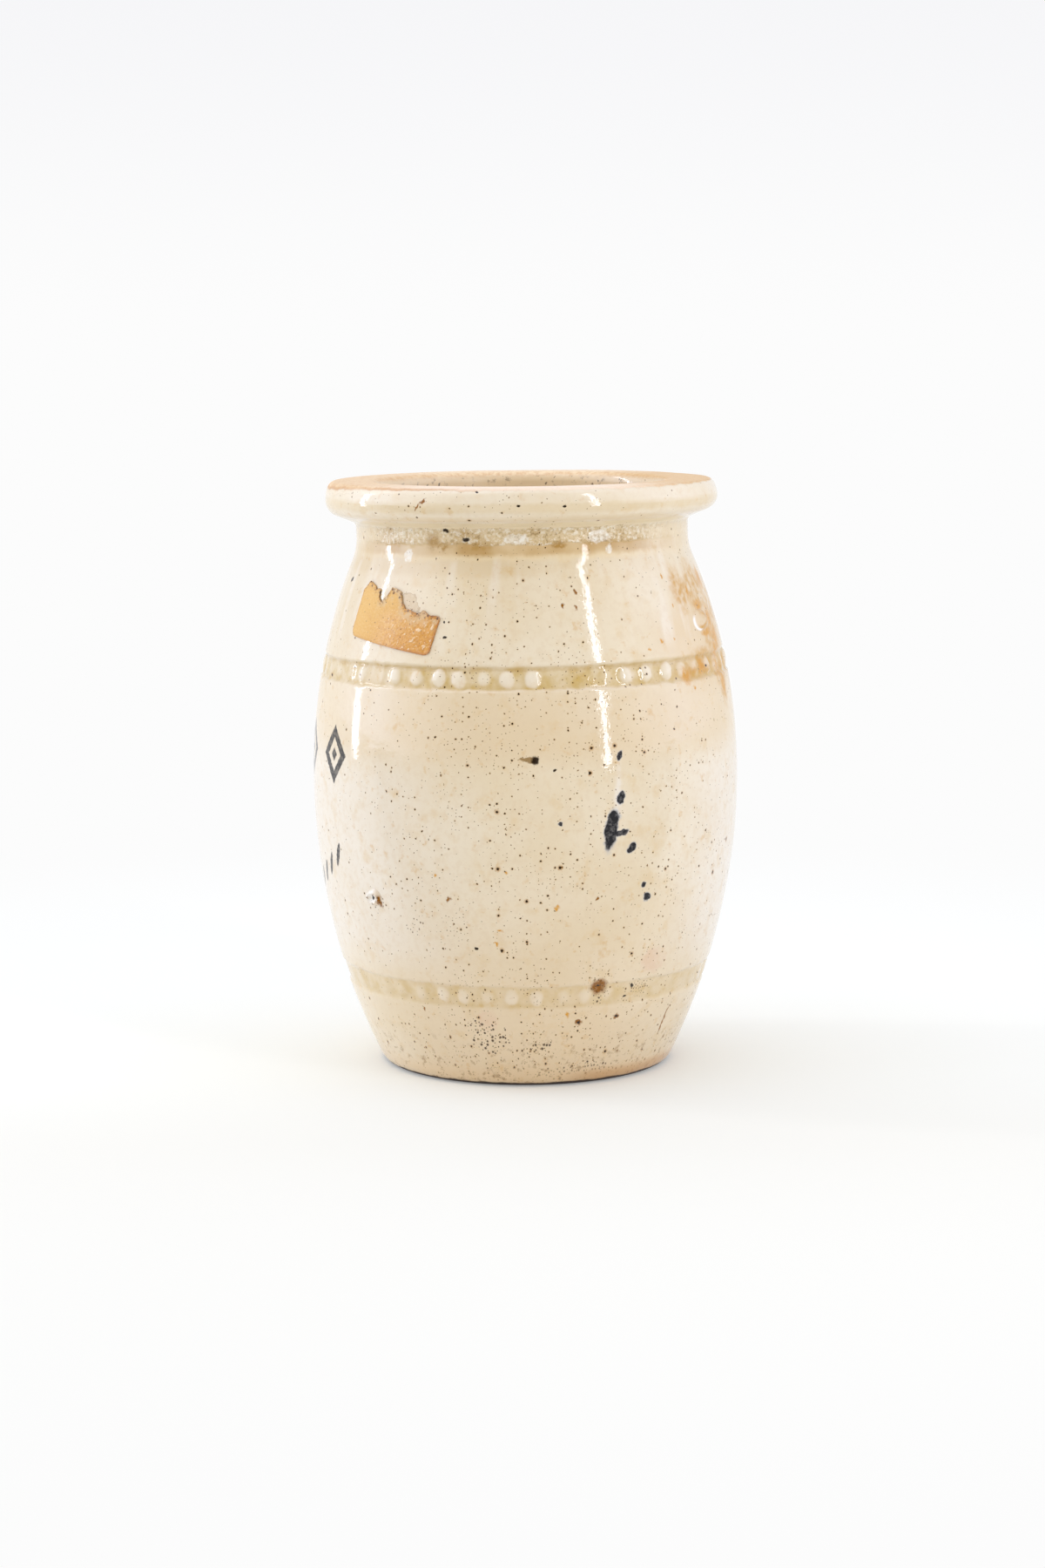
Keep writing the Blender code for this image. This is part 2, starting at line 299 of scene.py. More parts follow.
OUTLINE, OUTLINE_NORMAL, OUTLINE_ALONG = pot_outline()
CREST_ROW = int(np.argmax(OUTLINE[:, 1]))
OUTSIDE_ROWS = (OUTLINE_ALONG >= 0) & (np.arange(len(OUTLINE)) <= CREST_ROW)
FLOOR_ROW = CREST_ROW + int(np.argmax(OUTLINE[CREST_ROW:, 1] == FLOOR_HEIGHT))
FLOOR_EDGE = float(OUTLINE_ALONG[FLOOR_ROW]) / MM
LIP_ROW = CREST_ROW + int(np.argmax(OUTLINE[CREST_ROW:, 0] <= MOUTH_RADIUS + LIP_ROUNDING))


def along_at(height):
    """Distance along the outline, on the outside, at this height."""
    return np.interp(height, OUTLINE[OUTSIDE_ROWS, 1], OUTLINE_ALONG[OUTSIDE_ROWS])


def along_mm(height):
    """The same in millimetres, from a height in millimetres."""
    return float(along_at(height * MM)) / MM


def grain(across, up, seed, columns=97, rows=101):
    """Value noise from -1 to 1: random values on a lattice of whole numbers, blended by smooth steps.

    The lattice repeats after so many columns across and rows up, so it can close round the pot.
    """
    lattice = np.random.default_rng(seed).uniform(-1, 1, (rows, columns))
    column, row = np.floor(across).astype(int), np.floor(up).astype(int)
    right, above = smooth(across - column), smooth(up - row)
    column, row = column % columns, row % rows
    next_column, next_row = (column + 1) % columns, (row + 1) % rows
    low = lattice[row, column] * (1 - right) + lattice[row, next_column] * right
    high = lattice[next_row, column] * (1 - right) + lattice[next_row, next_column] * right
    return low * (1 - above) + high * above


def wall_grain(turn, along, size, seed):
    """Value noise on the unrolled wall with cells of this size, closed round the pot."""
    columns = round(2 * math.pi * BELLY_RADIUS / size)
    return grain(turn / 360 * columns, along / size, seed, columns)


def wall_relief(turn, along, height):
    """Slow unevenness of the wall, and the soft ridges that glaze left as it ran down the shoulder."""
    waves = WAVE_RISE * wall_grain(turn, along, WAVE_SIZE, seed=4)
    uneven = waves + RIPPLE_RISE * wall_grain(turn, along, RIPPLE_SIZE, seed=5)
    ridges = wall_grain(turn, 0 * along + 40 * MM, RUN_WIDTH, seed=6)
    reach = smooth((height - RUNS_LOW) / RUNS_FADE_IN) * smooth((RUNS_HIGH - height) / RUNS_FADE_OUT)
    return MM * (uneven + RUN_RISE * np.maximum(0, ridges) * reach)


def band_relief(turn, height, band):
    """Relief of one band, and the shares of recess and of bead at each point.

    The recess is a box in height with soft, slightly ragged edges. A bead is a dome over an oval with an
    uneven outline: 1 - d^2 of its rise at d of the way to its edge, and lower on the worn stretches. Sines of
    a bead's number vary its place and rise.
    """
    ragged = BAND_RAGGED * wall_grain(turn, height, 1.0 * MM, seed=10)
    above = height - (band["height"] - BAND_WIDTH / 2) + ragged
    below = band["height"] + BAND_WIDTH / 2 - height + ragged
    recess = smooth(above / BAND_EDGE) * smooth(below / BAND_EDGE)
    pitch = 360 / band["count"]
    index = np.round((turn - BEAD_PHASE) / pitch)
    drift = MM * (0.16 * np.sin(index * 2.4) + 0.12 * np.sin(index * 5.1 + 1.0))
    offset = np.radians(turn - BEAD_PHASE - index * pitch) * outer_radius(band["height"]) + drift
    shift = 0.10 * MM * np.sin(index * 3.7)
    distance = np.hypot(offset / BEAD_HALF_WIDTH, (height - band["height"] - shift) / BEAD_HALF_HEIGHT)
    worn = 1.0
    for middle, half_width, amount in band["worn"]:
        worn = worn * (1 - amount * np.exp(-(((turn - middle) / half_width) ** 4)))
    distance = distance + 0.10 * wall_grain(turn, height, 0.9 * MM, seed=9)
    uneven = 0.78 + 0.22 * np.sin(index * 1.9 + 0.6)
    bead = np.clip(1 - distance**2, 0, 1) * worn * uneven
    pooled = recess * (band["depth"] / UPPER_BAND["depth"]) ** 1.5
    shown = bead * recess * (band["rise"] / UPPER_BAND["rise"]) ** 0.5
    return -band["depth"] * recess + band["rise"] * bead, pooled, shown


def warp(points):
    """Moves points by the pot's lean, by a dip that grows with height, and by the levelling of its rim."""
    x, y, z = (points[..., i] for i in range(3))
    upper = np.clip((z - BELLY_HEIGHT) / (HEIGHT - BELLY_HEIGHT), 0, 1)
    rim = smooth((z - LEVELLED_FROM) / (HEIGHT - LEVELLED_FROM))
    levelled = rim * (LEVELLED_ACROSS * x + LEVELLED_BACK * y - LEVELLED_DROP)
    return np.stack([x + LEAN * upper**1.5, y, z + DIP * z / HEIGHT * x + levelled], -1)


def round_pot(radius, turn, height):
    """World points from cylinder coordinates, with the pot's warp."""
    angle = np.radians(turn)
    return warp(np.stack(np.broadcast_arrays(radius * np.sin(angle), -radius * np.cos(angle), height), -1))


def on_wall(across, up, turn, height, lift):
    """World points laid on the outside wall, at distances across and up from a given turn and height.

    The distance along the outline gives a point's radius, height and normal. The distance across, divided by
    that radius, gives its turn, and the lift is how far it stands off the uneven wall. Returns the points,
    their turns and their distances along the outline.
    """
    along = along_at(height) + up
    rows = OUTLINE_ALONG[OUTSIDE_ROWS]
    radius, level = (np.interp(along, rows, OUTLINE[OUTSIDE_ROWS, i]) for i in (0, 1))
    out, rise = (np.interp(along, rows, OUTLINE_NORMAL[OUTSIDE_ROWS, i]) for i in (0, 1))
    turns = turn + np.degrees(across / radius)
    lift = lift + wall_relief(turns, along, level)
    return round_pot(radius + out * lift, turns, level + rise * lift), turns, along


def new_piece(name, vertices, faces, finish, node=None):
    """A mesh piece that rides on the pot, smooth shaded, and stands for a solid where one is named."""
    mesh = bpy.data.meshes.new(name)
    mesh.from_pydata(vertices, [], faces)
    mesh.shade_smooth()
    mesh.materials.append(finish)
    piece = bpy.data.objects.new(name, mesh)
    bpy.context.scene.collection.objects.link(piece)
    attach(piece, "root")
    if node:
        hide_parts(node)
    return piece


def set_map(piece, name, corners):
    """A UV map from the (u, v) of each face corner, in the order of the faces."""
    layer = piece.data.uv_layers.new(name=name)
    layer.data.foreach_set("uv", np.asarray(corners, np.float32).ravel())


def set_share(piece, name, values):
    """A number for each vertex, as an attribute that the material reads."""
    attribute = piece.data.attributes.new(name, "FLOAT", "POINT")
    attribute.data.foreach_set("value", np.asarray(values, np.float32).ravel())


def corner_values(piece, values):
    """The values of each face corner, taken from its vertex."""
    index = np.empty(len(piece.data.loops), np.int32)
    piece.data.loops.foreach_get("vertex_index", index)
    return values[index]


def shell_faces(rows, columns, reverse=False):
    """Faces of a surface of closed rings, with a single point before the first ring and after the last.

    The points are counted ring by ring, and the two end points come last. Reverse turns the faces over.
    """
    here = np.arange(columns)
    after = (here + 1) % columns
    row = np.arange(rows - 1)[:, None] * columns
    top, count = (rows - 1) * columns, rows * columns
    start, end = np.full(columns, count), np.full(columns, count + 1)
    quads = [row + here, row + after, row + columns + after, row + columns + here]
    fans = [[start, after, here], [top + here, top + after, end]]
    if reverse:
        quads = [quads[0], *quads[:0:-1]]
        fans = [[start, here, after], [top + after, top + here, end]]
    faces = np.stack(quads, -1).reshape(-1, 4).tolist()
    for fan in fans:
        faces += np.stack(fan, -1).tolist()
    return faces


def with_ends(values, ends=(0, 0)):
    """The values of a surface of rings, point by point, followed by those of its two end points."""
    return np.append(values.ravel(), ends)


def make_pot(finish):
    """The pot as one closed surface over turn and distance along the outline.

    Each outline point is moved along its normal by the wall's relief, by the bands and by the crystals of the
    neck, then carried round the axis. A single point closes the surface under the base and on the floor.
    """
    turn = (-180 + 360 * np.arange(COLUMNS) / COLUMNS)[None, :]
    outline, normal = OUTLINE[1:-1], OUTLINE_NORMAL[1:-1]
    height, along = outline[:, 1][:, None], OUTLINE_ALONG[1:-1][:, None]
    outside = OUTSIDE_ROWS[1:-1][:, None]
    relief = wall_relief(turn, along, height)
    recess, bead = np.zeros_like(relief), np.zeros_like(relief)
    for band in (UPPER_BAND, LOWER_BAND):
        raised, hollow, domes = band_relief(turn, height, band)
        relief = relief + raised
        recess, bead = np.maximum(recess, hollow), np.maximum(bead, domes)
    in_neck = smooth((height - CRYSTALS_LOW) / (0.5 * MM)) * smooth((CRYSTALS_HIGH - height) / (0.4 * MM))
    in_neck = in_neck * (0.2 + 0.8 * smooth((CRYSTALS_TURN - np.abs(turn)) / 14))
    crystals = np.maximum(0, wall_grain(turn, along, CRYSTAL_SIZE, seed=8))
    relief = relief + CRYSTAL_RISE * MM * in_neck * crystals
    standing = smooth((height - 1.0 * MM) / (2.0 * MM))
    relief, recess, bead = (np.where(outside, values, 0) for values in (relief * standing, recess, bead))
    points = round_pot(outline[:, :1] + normal[:, :1] * relief, turn, height + normal[:, 1:] * relief)
    poles = round_pot(np.zeros(2), np.zeros(2), OUTLINE[[0, -1], 1])
    faces = shell_faces(len(outline), COLUMNS)
    pot = new_piece("glazed_pot", np.concatenate([points.reshape(-1, 3), poles]), faces, finish, "pot_body")

    across = np.radians(-180 + 360 * np.arange(COLUMNS + 1) / COLUMNS) * BELLY_RADIUS
    middle = (across[:-1] + across[1:]) / 2
    left, right, low = np.broadcast_arrays(across[:-1], across[1:], OUTLINE_ALONG[1:-2][:, None])
    high = np.broadcast_to(OUTLINE_ALONG[2:-1][:, None], low.shape)
    wall_map = np.stack([left, low, right, low, right, high, left, high], -1).reshape(-1, 2)
    ends = [np.full(COLUMNS, OUTLINE_ALONG[i]) for i in (0, 1, -2, -1)]
    first_map = np.stack([middle, ends[0], across[1:], ends[1], across[:-1], ends[1]], -1).reshape(-1, 2)
    last_map = np.stack([across[:-1], ends[2], across[1:], ends[2], middle, ends[3]], -1).reshape(-1, 2)
    set_map(pot, "unrolled", np.concatenate([wall_map, first_map, last_map]) / MAP_SPAN)
    set_share(pot, "recess", with_ends(recess))
    set_share(pot, "bead", with_ends(bead))


def make_lump(name, finish, turn, height, half_width, half_height, rise, dent, rust):
    """A lump fused to the wall: a dome over an oval, closed by a shallow bowl that is sunk in the glaze.

    With s the share of the way from its middle to its edge, the dome is 1 - s^2.5 of its rise, and a dent
    lowers its middle by a smooth step of 1 - (1.6s)^2. From s = 0.4 outwards it is rust-coloured to the
    right, with a painted highlight near its edge to the lower left: a pale crescent.
    """
    rings, spokes = 18, 40
    share = np.linspace(0, 1, rings)[1:, None]
    angle = (2 * math.pi * np.arange(spokes) / spokes)[None, :]
    wobble = 1 + 0.10 * np.sin(2 * angle + 1.0) + 0.06 * np.sin(3 * angle + turn)
    dome = rise * (1 - share**2.5) - dent * smooth(1 - (1.6 * share) ** 2) - LUMP_SUNK
    bowl = -BOWL_DEPTH * (1 - share[::-1][1:] ** 2) - BOWL_SUNK
    spread = np.concatenate([share, share[::-1][1:]])
    lift = np.concatenate([dome, bowl]) + 0 * angle
    across, up = spread * wobble * half_width * np.cos(angle), spread * wobble * half_height * np.sin(angle)
    lift = with_ends(lift, (rise - dent - LUMP_SUNK, -BOWL_DEPTH - BOWL_SUNK))
    points, turns, along = on_wall(with_ends(across), with_ends(up), turn, height, lift)
    lump = new_piece(name, points, shell_faces(len(spread), spokes, reverse=True), finish)
    ring = smooth((spread - 0.4) / 0.2) * smooth(0.7 + np.cos(angle + 0.5))
    # Painted highlight: a pale crescent on the lower left, where a strip lamp would reflect in the dome's
    # flank.
    crescent = smooth((spread - 0.72) / 0.1) * smooth((0.98 - spread) / 0.08)
    crescent = crescent * smooth(2.2 * np.cos(angle - 3.6) - 0.9)
    ring = rust * ring * (1 - crescent)
    set_share(lump, "rind", with_ends(ring))
    set_share(lump, "painted_glint", with_ends(crescent))
    spread_map = np.stack([np.radians(turns) * BELLY_RADIUS, along], -1) / MAP_SPAN
    set_map(lump, "unrolled", corner_values(lump, spread_map))


def scatter(x, y, places, size):
    """1 at each of several places, falling off within about this size; uneven outlines come from noise."""
    spread = size * (1 + 0.5 * grain(x / 0.3 + 20, y / 0.3 + 20, seed=30))
    distance = [np.hypot(x - place[0], y - place[1]) / spread for place in places]
    return np.exp(-np.min(distance, axis=0) ** 4)


def make_label(finish):
    """What is left of the paper label: a sheet over two shares, across and up, laid on the shoulder.

    Its lower edge is straight with round corners, its upper edge runs through the points of the tear with a
    fine raggedness. Its lower right half is crumpled by fine noise and carries small raised crumbs, painted
    pale as highlights.
    """
    columns, rows = 220, 90
    x = np.linspace(LABEL_LEFT, LABEL_RIGHT, columns)[None, :]
    share = np.linspace(0, 1, rows)[:, None]
    from_side = np.minimum(x - LABEL_LEFT, LABEL_RIGHT - x)
    into_corner = np.clip(LABEL_CORNER - from_side, 0, LABEL_CORNER)
    low = LABEL_LOW + LABEL_CORNER - np.sqrt(LABEL_CORNER**2 - into_corner**2)
    tear = np.array(LABEL_TEAR)
    ragged = 0.20 * grain(x / 0.62, x * 0, seed=21)
    ragged = ragged + 0.13 * grain(x / 0.23 + 40, x * 0, seed=22) * grain(x / 1.3, x * 0, seed=28)
    high = np.interp(x, tear[:, 0], tear[:, 1]) + ragged
    y = low + (high - low) * share
    x = x + 0.05 * grain(x * 0, y / 0.5, seed=23) * (1 - smooth(from_side / 0.5)) + 0 * y
    region = smooth((x + 5.5) / 7.0) * smooth((6.8 - y) / 3.0)
    crumple = grain(x / 0.62 + 40, y / 0.62 + 40, seed=24)
    crumple = crumple + 0.7 * grain((x + y) / 0.35 + 40, (y - x) / 0.35 + 40, seed=29)
    crinkle = smooth(1 - np.abs(grain(x / 0.34 + 60, y / 0.34 + 60, seed=25)) / 0.35) * region
    # Painted highlights: raised crumbs and crinkles, painted pale where the paper would glint.
    crumb_glint = crinkle * smooth(3 * grain(x / 0.55 + 20, y / 0.55 + 30, seed=28) - 0.9)
    crumb_glint = np.maximum(crumb_glint, scatter(x, y, LABEL_GLINTS, 0.2) * crinkle)
    fibre = scatter(x, y, LABEL_FIBRES, 0.17)
    edge = np.minimum(np.minimum(x - LABEL_LEFT, LABEL_RIGHT - x), np.minimum(y - low, high - y))
    curl = CURL_RISE * (1 - smooth((high - y) / CURL_REACH)) * (0.5 + 0.5 * grain(x / 1.1, y * 0, seed=26))
    wavy = 0.03 * grain(x / 2.2 + 20, y / 2.2, seed=27)
    lift = MM * (LABEL_GAP + CRUMPLE_RISE * region * crumple + CRUMB_RISE * crumb_glint + curl + wavy)
    tilt = math.radians(LABEL_TILT)
    across = MM * (x * math.cos(tilt) - y * math.sin(tilt))
    up = MM * (x * math.sin(tilt) + y * math.cos(tilt))
    points, _, _ = on_wall(across, up, LABEL_TURN, LABEL_HEIGHT * MM, lift)
    column = np.arange(columns - 1)
    row = np.arange(rows - 1)[:, None] * columns
    quads = np.stack([row + column, row + column + 1, row + columns + column + 1, row + columns + column], -1)
    label = new_piece("shoulder_label", points.reshape(-1, 3), quads.reshape(-1, 4).tolist(), finish,
                      "paper_label")
    laid = np.stack([x.ravel() / LABEL_SPAN + 0.5, y.ravel() / LABEL_SPAN], -1)
    set_map(label, "laid", corner_values(label, laid))
    shares = {"edge": np.maximum(0, edge), "crumb_glint": crumb_glint, "fibre": fibre, "crumpled": region,
              "tear": np.maximum(0, high - y)}
    for name, values in shares.items():
        set_share(label, name, values)
    thick = label.modifiers.new("paper", "SOLIDIFY")
    thick.thickness = LABEL_THICKNESS
    thick.offset = 1.0


class Nodes:
    """A node tree being built: most methods add nodes and return their output."""

    def __init__(self, tree):
        self.tree = tree

    def node(self, kind, inputs=(), **settings):
        """A node of this kind, with its settings, and inputs set or linked by name or number."""
        made = self.tree.nodes.new("ShaderNode" + kind)
        for key, value in settings.items():
            setattr(made, key, value)
        for key, value in dict(inputs).items():
            self.feed(made.inputs[key], value)
        return made

    def feed(self, socket, value):
        """Links an output to a socket, or sets the socket to a constant."""
        if isinstance(value, bpy.types.NodeSocket):
            self.tree.links.new(value, socket)
        else:
            socket.default_value = value

    def calc(self, operation, first, second=0.0, third=0.0):
        """A number from up to three others, by the operation named."""
        return self.node("Math", {0: first, 1: second, 2: third}, operation=operation).outputs[0]

    def times(self, first, *others):
        """The product of several values."""
        for other in others:
            first = self.calc("MULTIPLY", first, other)
        return first

    def most(self, values):
        """The largest of several values."""
        result = values[0]
        for value in values[1:]:
            result = self.calc("MAXIMUM", result, value)
        return result

    def step(self, value, low, high, start=0.0, end=1.0):
        """Smooth step of a value between two limits, from start to end."""
        inputs = {"Value": value, "From Min": low, "From Max": high, "To Min": start, "To Max": end}
        return self.node("MapRange", inputs, interpolation_type="SMOOTHSTEP").outputs["Result"]

    def paint(self, share, under, over):
        """One colour laid over another by a share."""
        made = self.node("Mix", data_type="RGBA", clamp_factor=True)
        for name, value in (("Factor_Float", share), ("A_Color", under), ("B_Color", over)):
            self.feed(next(s for s in made.inputs if s.identifier == name), value)
        return next(s for s in made.outputs if s.identifier == "Result_Color")

    def noise(self, place, size, detail=2.0, roughness=0.5, output="Fac"):
        """Cloudy noise of about 0 to 1, with features of this size."""
        inputs = {"Vector": place, "Scale": 1 / size, "Detail": detail, "Roughness": roughness}
        return self.node("TexNoise", inputs).outputs[output]

    def vector(self, operation, first, second):
        """A vector sum, difference or scaling of two values."""
        key = "Scale" if operation == "SCALE" else 1
        return self.node("VectorMath", {0: first, key: second}, operation=operation).outputs[0]

    def shaken(self, place, around, size, reach):
        """A place moved about by noise, so that what is drawn on it gets uneven edges."""
        push = self.vector("SUBTRACT", self.noise(around, size, 2.0, output="Color"), (0.5, 0.5, 0.5))
        return self.vector("ADD", place, self.vector("SCALE", push, reach))

    def specks(self, place, spacing, presence, least, largest):
        """Specks on a map: each cell has one if its random value passes, of a radius that varies too."""
        made = self.node("TexVoronoi", {"Vector": place, "Scale": 1 / spacing}, voronoi_dimensions="2D")
        random = self.node("SeparateColor", {0: made.outputs["Color"]}).outputs
        there = self.calc("LESS_THAN", random[0], presence)
        size = self.calc("MULTIPLY_ADD", self.times(random[1], random[1]), largest - least, least)
        radius = self.times(there, self.calc("DIVIDE", size, spacing))
        outer, inner = self.times(radius, 1.2), self.times(radius, 0.6)
        inputs = {"Value": made.outputs["Distance"], "From Min": outer, "From Max": inner}
        return self.times(self.node("MapRange", inputs, clamp=True).outputs["Result"], there)


class Finish(Nodes):
    """A material being built round a Principled shader."""

    def __init__(self, name):
        self.material = bpy.data.materials.new(name)
        self.material.use_nodes = True
        super().__init__(self.material.node_tree)
        self.shader = self.tree.nodes["Principled BSDF"]
        self.colour = None

    def lay(self, share, colour, most=1.0):
        """Paints a colour over what is there, by a share of at most so much."""
        if most != 1.0:
            share = self.times(share, most)
        self.colour = self.paint(share, self.colour, colour)

    def attribute(self, name):
        """A number that the mesh keeps for each vertex."""
        return self.node("Attribute", attribute_name=name).outputs["Fac"]

    def bump(self, depth, height, normal=None, strength=1.0):
        """A normal that shows a height of 0 to 1 as this depth, on top of another normal if one is given."""
        inputs = {"Strength": strength, "Distance": depth, "Height": height}
        if normal is not None:
            inputs["Normal"] = normal
        return self.node("Bump", inputs).outputs[0]


# Marks on the wall: turn, height, width, tallness and lean; sizes in millimetres, lean in degrees
INK_BLOTS = [
    (22.4, 37.6, 2.5, 7.4, -9), (22.9, 39.2, 2.3, 3.6, -20), (25.4, 37.2, 2.6, 1.1, 12),
    (28.4, 35.0, 2.2, 1.5, 45), (25.0, 42.2, 1.4, 2.4, -15), (24.8, 47.9, 0.9, 1.8, -25),
    (32.9, 29.6, 1.1, 1.1, 0), (34.4, 27.8, 1.7, 1.6, 20), (8.9, 39.0, 0.8, 0.8, 0),
]
IRON_SPOTS = [
    (2.6, 47.8, 1.5, 1.5, 0), (7.4, 46.4, 0.7, 0.7, 0), (-14.1, 21.2, 1.0, 0.7, -20),
    (16.6, 10.0, 0.7, 0.6, 0), (29.6, 10.3, 0.7, 0.6, 20), (22.1, 15.2, 0.5, 0.5, 0),
    (-25.8, 78.7, 1.4, 0.9, 0), (-18.9, 77.5, 1.4, 1.1, 0), (-71.7, 71.3, 1.4, 1.0, 20),
    (-22.8, 64.3, 0.7, 0.8, 0), (-23.6, 66.4, 0.5, 0.5, 0), (-12.5, 84.5, 0.6, 0.5, 0),
    (-0.9, 82.6, 0.6, 0.6, 0), (11.9, 82.35, 0.6, 0.5, 0), (33.6, 14.6, 0.9, 1.0, 15),
    (31.5, 13.2, 0.9, 0.6, 30), (-46.0, 27.3, 0.7, 0.8, 0),
]
RUST_SPOTS = [
    (22.1, 15.1, 3.4, 3.4, 0), (-43.7, 26.9, 1.0, 2.6, 12), (-21.1, 28.2, 0.8, 1.2, -20),
    (19.2, 28.3, 0.5, 1.0, 0), (-34.3, 11.5, 0.6, 1.1, 15), (52.3, 8.2, 0.6, 6.0, -8),
    (15.8, 70.3, 0.7, 1.0, 0), (15.6, 68.2, 0.7, 1.0, 0), (11.6, 68.5, 0.7, 0.9, 0),
    (-30.6, 82.3, 1.6, 0.5, 50), (-28.7, 83.2, 1.4, 0.45, 30), (16.6, 10.0, 1.3, 1.1, 0),
    (29.6, 10.3, 1.3, 1.1, 0),
]
SMEARS = [
    (1.5, 47.8, 1.8, 1.1, 0), (0.5, 47.85, 1.7, 0.7, 0), (-0.6, 47.9, 1.5, 0.4, 0),
]
# Painted reflection: a faint pale streak where the right lamp's highlight trails down the belly
PAINTED_REFLECTION_STREAK = [
    (24.2, 42.6, 1.6, 13.0, -3),
]
WIDE_STAIN = [
    (64.0, 62.5, 30, 18, 0),
]
BLUSHES = [
    (57.0, 69.5, 7, 9, 0), (68.0, 69.0, 11, 12, 0), (72.0, 63.0, 9, 10, 0), (80.0, 66.0, 9, 16, 0),
    (82.0, 57.5, 7, 10, 0), (62.0, 60.0, 12, 4, 0), (57.0, 58.5, 14, 4, 0), (72.0, 57.5, 8, 8, 0),
    (69.5, 62.4, 8, 6, 0), (71.5, 59.5, 7, 6, 0), (72.0, 55.0, 4, 7, 0),
]
ORANGE_MARKS = [
    (65.6, 67.0, 3.4, 2.2, 0), (71.8, 65.0, 2.6, 5.0, 0), (67.0, 63.2, 6.0, 1.8, 0),
    (73.2, 62.3, 3.6, 5.0, 15), (76.0, 70.6, 3.0, 5.0, -10), (50.6, 57.8, 3.4, 3.4, 0),
    (59.3, 58.8, 2.2, 3.2, 0), (69.8, 58.4, 3.0, 4.4, 0), (71.0, 60.6, 3.0, 4.0, 10),
    (72.2, 56.0, 2.6, 6.0, 0), (53.2, 56.0, 1.0, 1.1, 0), (42.8, 62.9, 1.3, 1.1, 0),
    (-24.4, 31.5, 0.7, 0.7, 0), (-5.1, 32.1, 0.9, 0.8, 0), (-7.3, 23.9, 1.0, 0.8, 0),
    (-8.4, 22.0, 0.9, 0.7, 0), (12.7, 11.2, 1.0, 0.9, 0), (8.4, 27.1, 0.8, 1.2, -30),
    (37.5, 62.0, 0.6, 0.8, 0), (47.8, 63.0, 0.6, 0.8, 0), (49.4, 71.6, 0.6, 1.2, 0),
    (60.9, 69.2, 1.0, 2.2, -10), (50.8, 67.6, 0.6, 0.8, 0),
]
PINK_GHOSTS = [
    (40.2, 18.2, 6.4, 5.4, 0), (-12.3, 10.3, 3.6, 5.4, -15),
]
PALE_MARKS = [
    (-46.4, 27.4, 2.4, 2.2, 0), (-2.0, 77.6, 4.4, 1.8, 0), (26.0, 77.6, 4.4, 2.4, 0),
    (-41.2, 75.2, 2.0, 2.4, 30), (29.8, 75.8, 1.4, 1.6, -25),
]
GOLDEN_MARKS = [
    (-31.0, 77.2, 3.2, 3.4, 20), (-27.5, 76.6, 2.6, 1.4, 0), (12.0, 76.6, 3.0, 1.2, 0),
]
GUM_FILM = [
    (-37.4, 69.2, 3.2, 2.4, 0), (-35.0, 68.4, 2.8, 1.6, -30),
]
SPECK_CLUSTERS = [
    (-12.0, 7.8, 9.0, 4.6, 0), (-12.0, 6.4, 6.0, 3.6, 0), (-16.5, 9.8, 3.0, 2.2, 0),
    (25.0, 2.6, 11.0, 3.0, 0), (8.0, 2.3, 8.0, 2.6, 0), (5.0, 6.6, 5.0, 2.6, 20),
    (22.1, 13.6, 2.6, 3.0, 0),
]
FAINT_CLUSTERS = [
    (-58.5, 77.2, 1.8, 1.6, 0), (-44.4, 26.5, 3.6, 3.6, 0), (36.0, 14.6, 6.0, 4.0, 0),
    (-32.0, 23.6, 4.0, 4.0, 0), (22.1, 15.1, 4.0, 4.0, 0),
]


